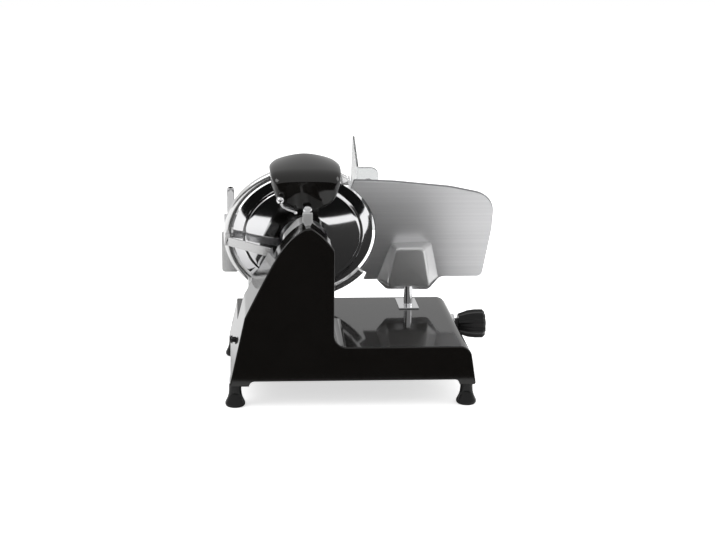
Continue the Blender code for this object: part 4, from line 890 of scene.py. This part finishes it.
near_side = [(0.0110, -0.0042), (0.0342, -0.0042), (0.0348, -0.0045), (0.0372, -0.0124), (0.0380, -0.0130),
             (0.0436, -0.0130)]
for k in range(DISH_STEPS + 1):
    radius = DISH_START + (DISH_END - DISH_START) * k / DISH_STEPS
    near_side.append((radius, dome(radius)))
near_side += [(0.0903, -0.0048), (0.0908, -0.0042), (0.0945, -0.0042), (0.0949, -0.0045), (0.0966, -0.0036),
              (0.1093, -0.0004), (0.1100, -0.0003), (0.1100, 0.0)]
far_side = [(0.0988, 0.0012), (0.0908, 0.0012), (0.0868, -0.0008), (0.0460, -0.0098), (0.0390, -0.0098),
            (0.0360, -0.0008), (0.0110, -0.0008)]
blade = turned_part("mirror_blade", [(r, -n) for r, n in near_side + far_side], BLADE_FACE, 192)
for k in range(3):
    angle = radians(FIRST_SCREW + 120 * k)
    spot = Matrix.Translation((SCREW_CIRCLE * cos(angle), SCREW_CIRCLE * sin(angle), 0))
    carve(blade, drill(SCREW_HOLE, -0.004, 0.008, BLADE_FACE @ spot, 24))
settle(blade, "blade", "blade_unit", blade_steel, 30, flatten=False)

# %% [markdown]
# The ring that guards the blade is a polished rod-like casting. Its section is half round towards the
# camera, with a fine lip inside. It ends in a small block at the gauge plate's top, and a post at its
# lower left holds it to the base.

# %% Guard ring
RING_RADIUS, RING_HALF = 0.11865, 0.00585
RING_SWEEP, RING_START = 265.0, 58.0
POST_ANGLE = radians(227)
half_round = [(RING_RADIUS + RING_HALF * cos(radians(a)), -0.0006 - 0.0034 * sin(radians(a)))
              for a in range(0, 181, 12)]
section = [(0.1245, 0.0050), (0.1245, -0.0006)] + half_round[1:-1]
section += [(0.1128, -0.0006), (0.1128, 0.0060), (0.1235, 0.0060)]
ring = turned_part("polished_ring", [(r, -n) for r, n in section], BLADE_FACE, 150, RING_SWEEP, RING_START)
post_spot = Matrix.Translation((RING_RADIUS * cos(POST_ANGLE), RING_RADIUS * sin(POST_ANGLE), 0))
ring_end = filleted([(0.0565, 0.0945, 0.002), (0.0695, 0.0940, 0.002), (0.0690, 0.1030, 0.002),
                     (0.0640, 0.1085, 0.003), (0.0560, 0.1130, 0.002)])
carve(ring, drill(0.0058, 0.003, 0.0947, BLADE_FACE @ post_spot, 32),
      slab("ring_end", ring_end, 0.0, 0.0052, BLADE_FACE, 0.0012), how="UNION")
settle(ring, "blade_guard", "base", ring_metal, 40, flatten=False)

# %% [markdown]
# The boss on the gauge plate is one soft casting. Its sides flare towards the plate, its foot follows
# the plate's lower lobe, and its front is wider below than above, with a rounded edge. It is skinned
# from rings that run from the foot to the front.

# %% Gauge boss
# Corners (x, y, radius), anticlockwise from the lower left, at the plate and at the rounded front edge.
BOSS_FOOT = [(0.1370, -0.0985, 0.004), (0.2040, -0.0985, 0.004), (0.2195, -0.0808, 0.004),
             (0.2034, -0.0130, 0.009), (0.1405, -0.0150, 0.009), (0.1210, -0.0850, 0.004)]
BOSS_FACE = [(0.1385, -0.0870, 0.003), (0.2035, -0.0870, 0.003), (0.2045, -0.0790, 0.003),
             (0.1915, -0.0110, 0.010), (0.1450, -0.0110, 0.010), (0.1365, -0.0790, 0.003)]
BOSS_EDGE = 0.0042
BOSS_BACK, BOSS_SEAM, BOSS_FRONT = 0.0051, 0.0060, 0.0265
SHARPEST_CORNER = 0.0006
CORNER_STEPS = 8


def boss_ring(share, inset, along):
    """The boss's outline at a depth, a share of the way from its foot to its face, and drawn in."""
    corners = []
    for (x0, y0, r0), (x1, y1, r1) in zip(BOSS_FOOT, BOSS_FACE):
        corners.append((x0 + (x1 - x0) * share, y0 + (y1 - y0) * share, r0 + (r1 - r0) * share))
    points = []
    for k, (x, y, radius) in enumerate(corners):
        here = Vector((x, y))
        back = (Vector(corners[k - 1][:2]) - here).normalized()
        ahead = (Vector(corners[(k + 1) % len(corners)][:2]) - here).normalized()
        half = back.angle(ahead) / 2
        here += (back + ahead).normalized() * (inset / sin(half))
        radius = max(radius - inset, SHARPEST_CORNER)
        centre = here + (back + ahead).normalized() * (radius / sin(half))
        start = here + back * (radius / tan(half)) - centre
        sweep = start.angle_signed(here + ahead * (radius / tan(half)) - centre)
        for j in range(CORNER_STEPS + 1):
            arm = start.copy()
            arm.rotate(Matrix.Rotation(-sweep * j / CORNER_STEPS, 2))
            points.append((*(centre + arm), -along))
    return points


levels = [(0.0, 0.0, -BOSS_BACK)]
for k in range(9):
    levels.append((k / 8, 0.0, -BOSS_SEAM - (BOSS_FRONT - BOSS_EDGE - BOSS_SEAM) * k / 8))
for a in range(15, 91, 15):
    levels.append((1.0, BOSS_EDGE * (1 - cos(radians(a))), -BOSS_FRONT + BOSS_EDGE * (1 - sin(radians(a)))))
boss = skin("cast_boss", [boss_ring(*level) for level in levels], BLADE_FACE)
carve(boss, drill(0.0073, -0.02, 0.1333, Matrix.Translation(at_machine(0.305, 0.226, 0))))
settle(boss, "gauge_boss", "gauge", satin, 45, flatten=False)

# %% [markdown]
# The gauge plate is sheet aluminium. Its edge wears a darker metal than its brushed face, a painted dark
# reflection that stands in for the dark room the edge reflects. Its left edge follows the blade and its lower
# lobe carries the boss. A real one is cut, brushed and broken at its edge, so it is drawn as two slabs: the
# sheet, and the brushed face a millimetre inside its edge.

# %% Gauge plate
PLATE_END = 0.2978
BLADE_GAP_RADIUS = 0.114
HEEL_RADIUS = 0.1275
FACE_INSET = 0.0011
arc = [(BLADE_GAP_RADIUS * cos(radians(a)), BLADE_GAP_RADIUS * sin(radians(a)))
       for a in [50.5 - 86 * k / 36 for k in range(37)]]
heel = [(HEEL_RADIUS * cos(radians(-35.5)), HEEL_RADIUS * sin(radians(-35.5))), (0.0995, -0.0870)]
outline = filleted([(0.122, -0.0895, 0.012), (0.137, -0.107, 0.010), (0.206, -0.1085, 0.010),
                    (0.223, -0.0825, 0.012), (0.290, -0.0825, 0.009), (PLATE_END, 0.010, 0.08),
                    (PLATE_END - 0.001, 0.0725, 0.040), (0.2268, 0.0895, 0.10), (0.137, 0.1000, 0.15),
                    (0.074, 0.1030, 0.004)], 4) + arc + heel
# The sheet's rim wears the painted dark reflection, and shows as a thin dark line round the brushed face.
sheet = slab("plate_rim", outline, -0.0002, 0.0032, BLADE_FACE, 0.0008)
settle(sheet, "gauge_plate", "gauge", rim_painted_dark_reflection, 30)
face = slab("plate_face", drawn_in(outline, FACE_INSET), 0.0030, 0.0048, BLADE_FACE, 0.0005)
settle(face, "gauge_plate", "gauge", brushed, 30)

# %% [markdown]
# The other pieces keep the frame's shapes, but no real edge is razor sharp: a casting's edges are
# rounded by its mould and a sheet's by a file. Each is copied, its loose triangles are merged into
# clean faces, and its edges are bevelled by a fraction of a millimetre so that they catch the light.

# %% Soften the rest
HOME = {}
for body_name, members in frame["record"]["behaviour"]["bodies"].items():
    for member in members:
        HOME[member] = body_name
SHARP_EDGE = 32
SAME_POINT = 0.000002
SAME_PLANE = 0.8


def softened(node, width):
    """A copy of a frame's piece with its edges bevelled, wearing the same finish, in its place."""
    source = nodes[node]
    piece = source.copy()
    piece.data = source.data.copy()
    piece.name = "soft_" + node
    piece.parent = None
    piece.matrix_world = Matrix.Identity(4)
    bpy.context.collection.objects.link(piece)
    take(piece)
    bpy.ops.object.mode_set(mode="EDIT")
    bpy.ops.mesh.select_all(action="SELECT")
    bpy.ops.mesh.remove_doubles(threshold=SAME_POINT)
    bpy.ops.mesh.dissolve_limited(angle_limit=radians(SAME_PLANE))
    bpy.ops.object.mode_set(mode="OBJECT")
    bevel = piece.modifiers.new("edge", "BEVEL")
    bevel.limit_method = "ANGLE"
    bevel.angle_limit = radians(SHARP_EDGE)
    bevel.width = width
    bevel.segments = 2
    bpy.ops.object.modifier_apply(modifier=bevel.name)
    settle(piece, node, HOME[node], source.data.materials[0], SHARP_EDGE)


SOFT = {
    0.0008: ("end_plate", "carriage_arm", "tray", "slice_deflector", "guard_stand", "pusher_plate",
             "switch_body", "gauge_slider"),
    0.0004: ("sharpener_housing", "pusher_collar", "pusher_sleeve", "slot_cover", "hub_cover",
             "deflector_knob", "cover_knob", "thickness_knob", "on_button", "off_button", "base_plate",
             "blade_cover", "motor_bracket", "motor_body", "dial_ring", "pusher_grip", "tray_handle",
             "driven_pulley"),
    0.0002: ("foot_front_left", "foot_front_right", "foot_rear_left", "foot_rear_right", "gauge_column",
             "slide_rod", "sharpening_button", "carriage_rail", "cable_gland"),
}
for width, names in SOFT.items():
    for name in names:
        softened(name, width)

# %% [markdown]
# The faceted post on the tower's ridge is a small block with a tapered foot, milled flat and broken
# lightly at its edges. A leaf runs back from it to the sharpener's seat. Both are flat outlines pushed
# to their thickness and then joined.

# %% Faceted post
RIDGE = 0.2696
FACETS = [(0.1291, RIDGE), (0.1363, RIDGE), (0.1397, RIDGE + 0.0072), (0.1397, RIDGE + 0.0196),
          (0.1253, RIDGE + 0.0196), (0.1253, RIDGE + 0.0072)]
LEAF = [(0.023, RIDGE + 0.0002), (0.100, RIDGE + 0.0002), (0.12446, 0.28207), (0.12307, 0.2855),
        (0.100, RIDGE + 0.0022), (0.023, RIDGE + 0.0022)]
POST_NEAR, POST_FAR = 0.020, 0.026
LEAF_LEFT, LEAF_RIGHT = 0.1304, 0.1350
post = slab("faceted_post", FACETS, -POST_FAR, -POST_NEAR, PANEL, 0.0007, 2)
carve(post, slab("post_leaf", LEAF, LEAF_LEFT, LEAF_RIGHT, SIDE), how="UNION")
settle(post, "sharpener_arm", HOME["sharpener_arm"], satin, 30)

# %% [markdown]
# The deburring stone's lever is a chromed wire bent by hand, with a ball at its free end and a straight
# spindle behind. The wire is a path with a round section, and the ball and spindle are joined to it.

# %% Deburring lever
LEVER_AT = SPINDLES[1]
LEVER_DEPTH = 0.0800
BALL_AT = (-0.0389, 0.1173, LEVER_DEPTH)
BALL_RADIUS = 0.0060
WIRE_RADIUS, SPINDLE_RADIUS = 0.0019, 0.0025
bends = through([(*LEVER_AT, 0.0795), (-0.0206, 0.0972, 0.0797), (-0.0319, 0.1024, 0.0799),
                 (-0.0372, 0.1098, LEVER_DEPTH), BALL_AT], 8, closed=False)
wire = bpy.data.curves.new("chrome_lever", "CURVE")
wire.dimensions = "3D"
wire.bevel_depth = WIRE_RADIUS
wire.bevel_resolution = 4
wire.use_fill_caps = True
run = wire.splines.new("POLY")
run.points.add(len(bends) - 1)
for point, place in zip(run.points, bends):
    point.co = (*place, 1)
lever = bpy.data.objects.new("chrome_lever", wire)
bpy.context.collection.objects.link(lever)
lever.matrix_world = BLADE_FACE
take(lever)
bpy.ops.object.convert(target="MESH")
lever = bpy.context.object
bpy.ops.mesh.primitive_uv_sphere_add(segments=32, ring_count=20, radius=BALL_RADIUS)
ball = bpy.context.object
ball.matrix_world = BLADE_FACE @ Matrix.Translation(BALL_AT)
spindle = drill(SPINDLE_RADIUS, 0.0360, 0.0820, BLADE_FACE @ Matrix.Translation((*LEVER_AT, 0)), 32)
carve(lever, spindle, ball, how="UNION")
settle(lever, "deburr_lever", HOME["deburr_lever"], chrome, 50, flatten=False)

# %% [markdown]
# A black cap closes the far end of the bright rod on the tray's left. It is a small turned cup with a
# rounded rim.

# %% Cap of the slide rod
CUP = [(0.0050, -0.1536), (0.0059, -0.1532), (0.0063, -0.1522), (0.0063, -0.1488), (0.0059, -0.1484),
       (0.00455, -0.1484), (0.00455, -0.1523)]
LID_RADIUS, LID_FAR, LID_NEAR = 0.0052, -0.1536, -0.1530
ROD_AXIS = BLADE_FACE @ Matrix.Translation((-0.1135, -0.0145, 0))
cap = turned_part("rod_cap", CUP, ROD_AXIS, 32)
carve(cap, drill(LID_RADIUS, LID_FAR, LID_NEAR, ROD_AXIS, 32), how="UNION")
settle(cap, None, "carriage", plastic, 40)

# %% [markdown]
# The drawn pieces stay inside the frame's own box, so that the machine stands in its place whichever of the
# two models is used. At the end the scene is brought up to date.

# %% Bring the scene up to date
bpy.context.view_layer.update()
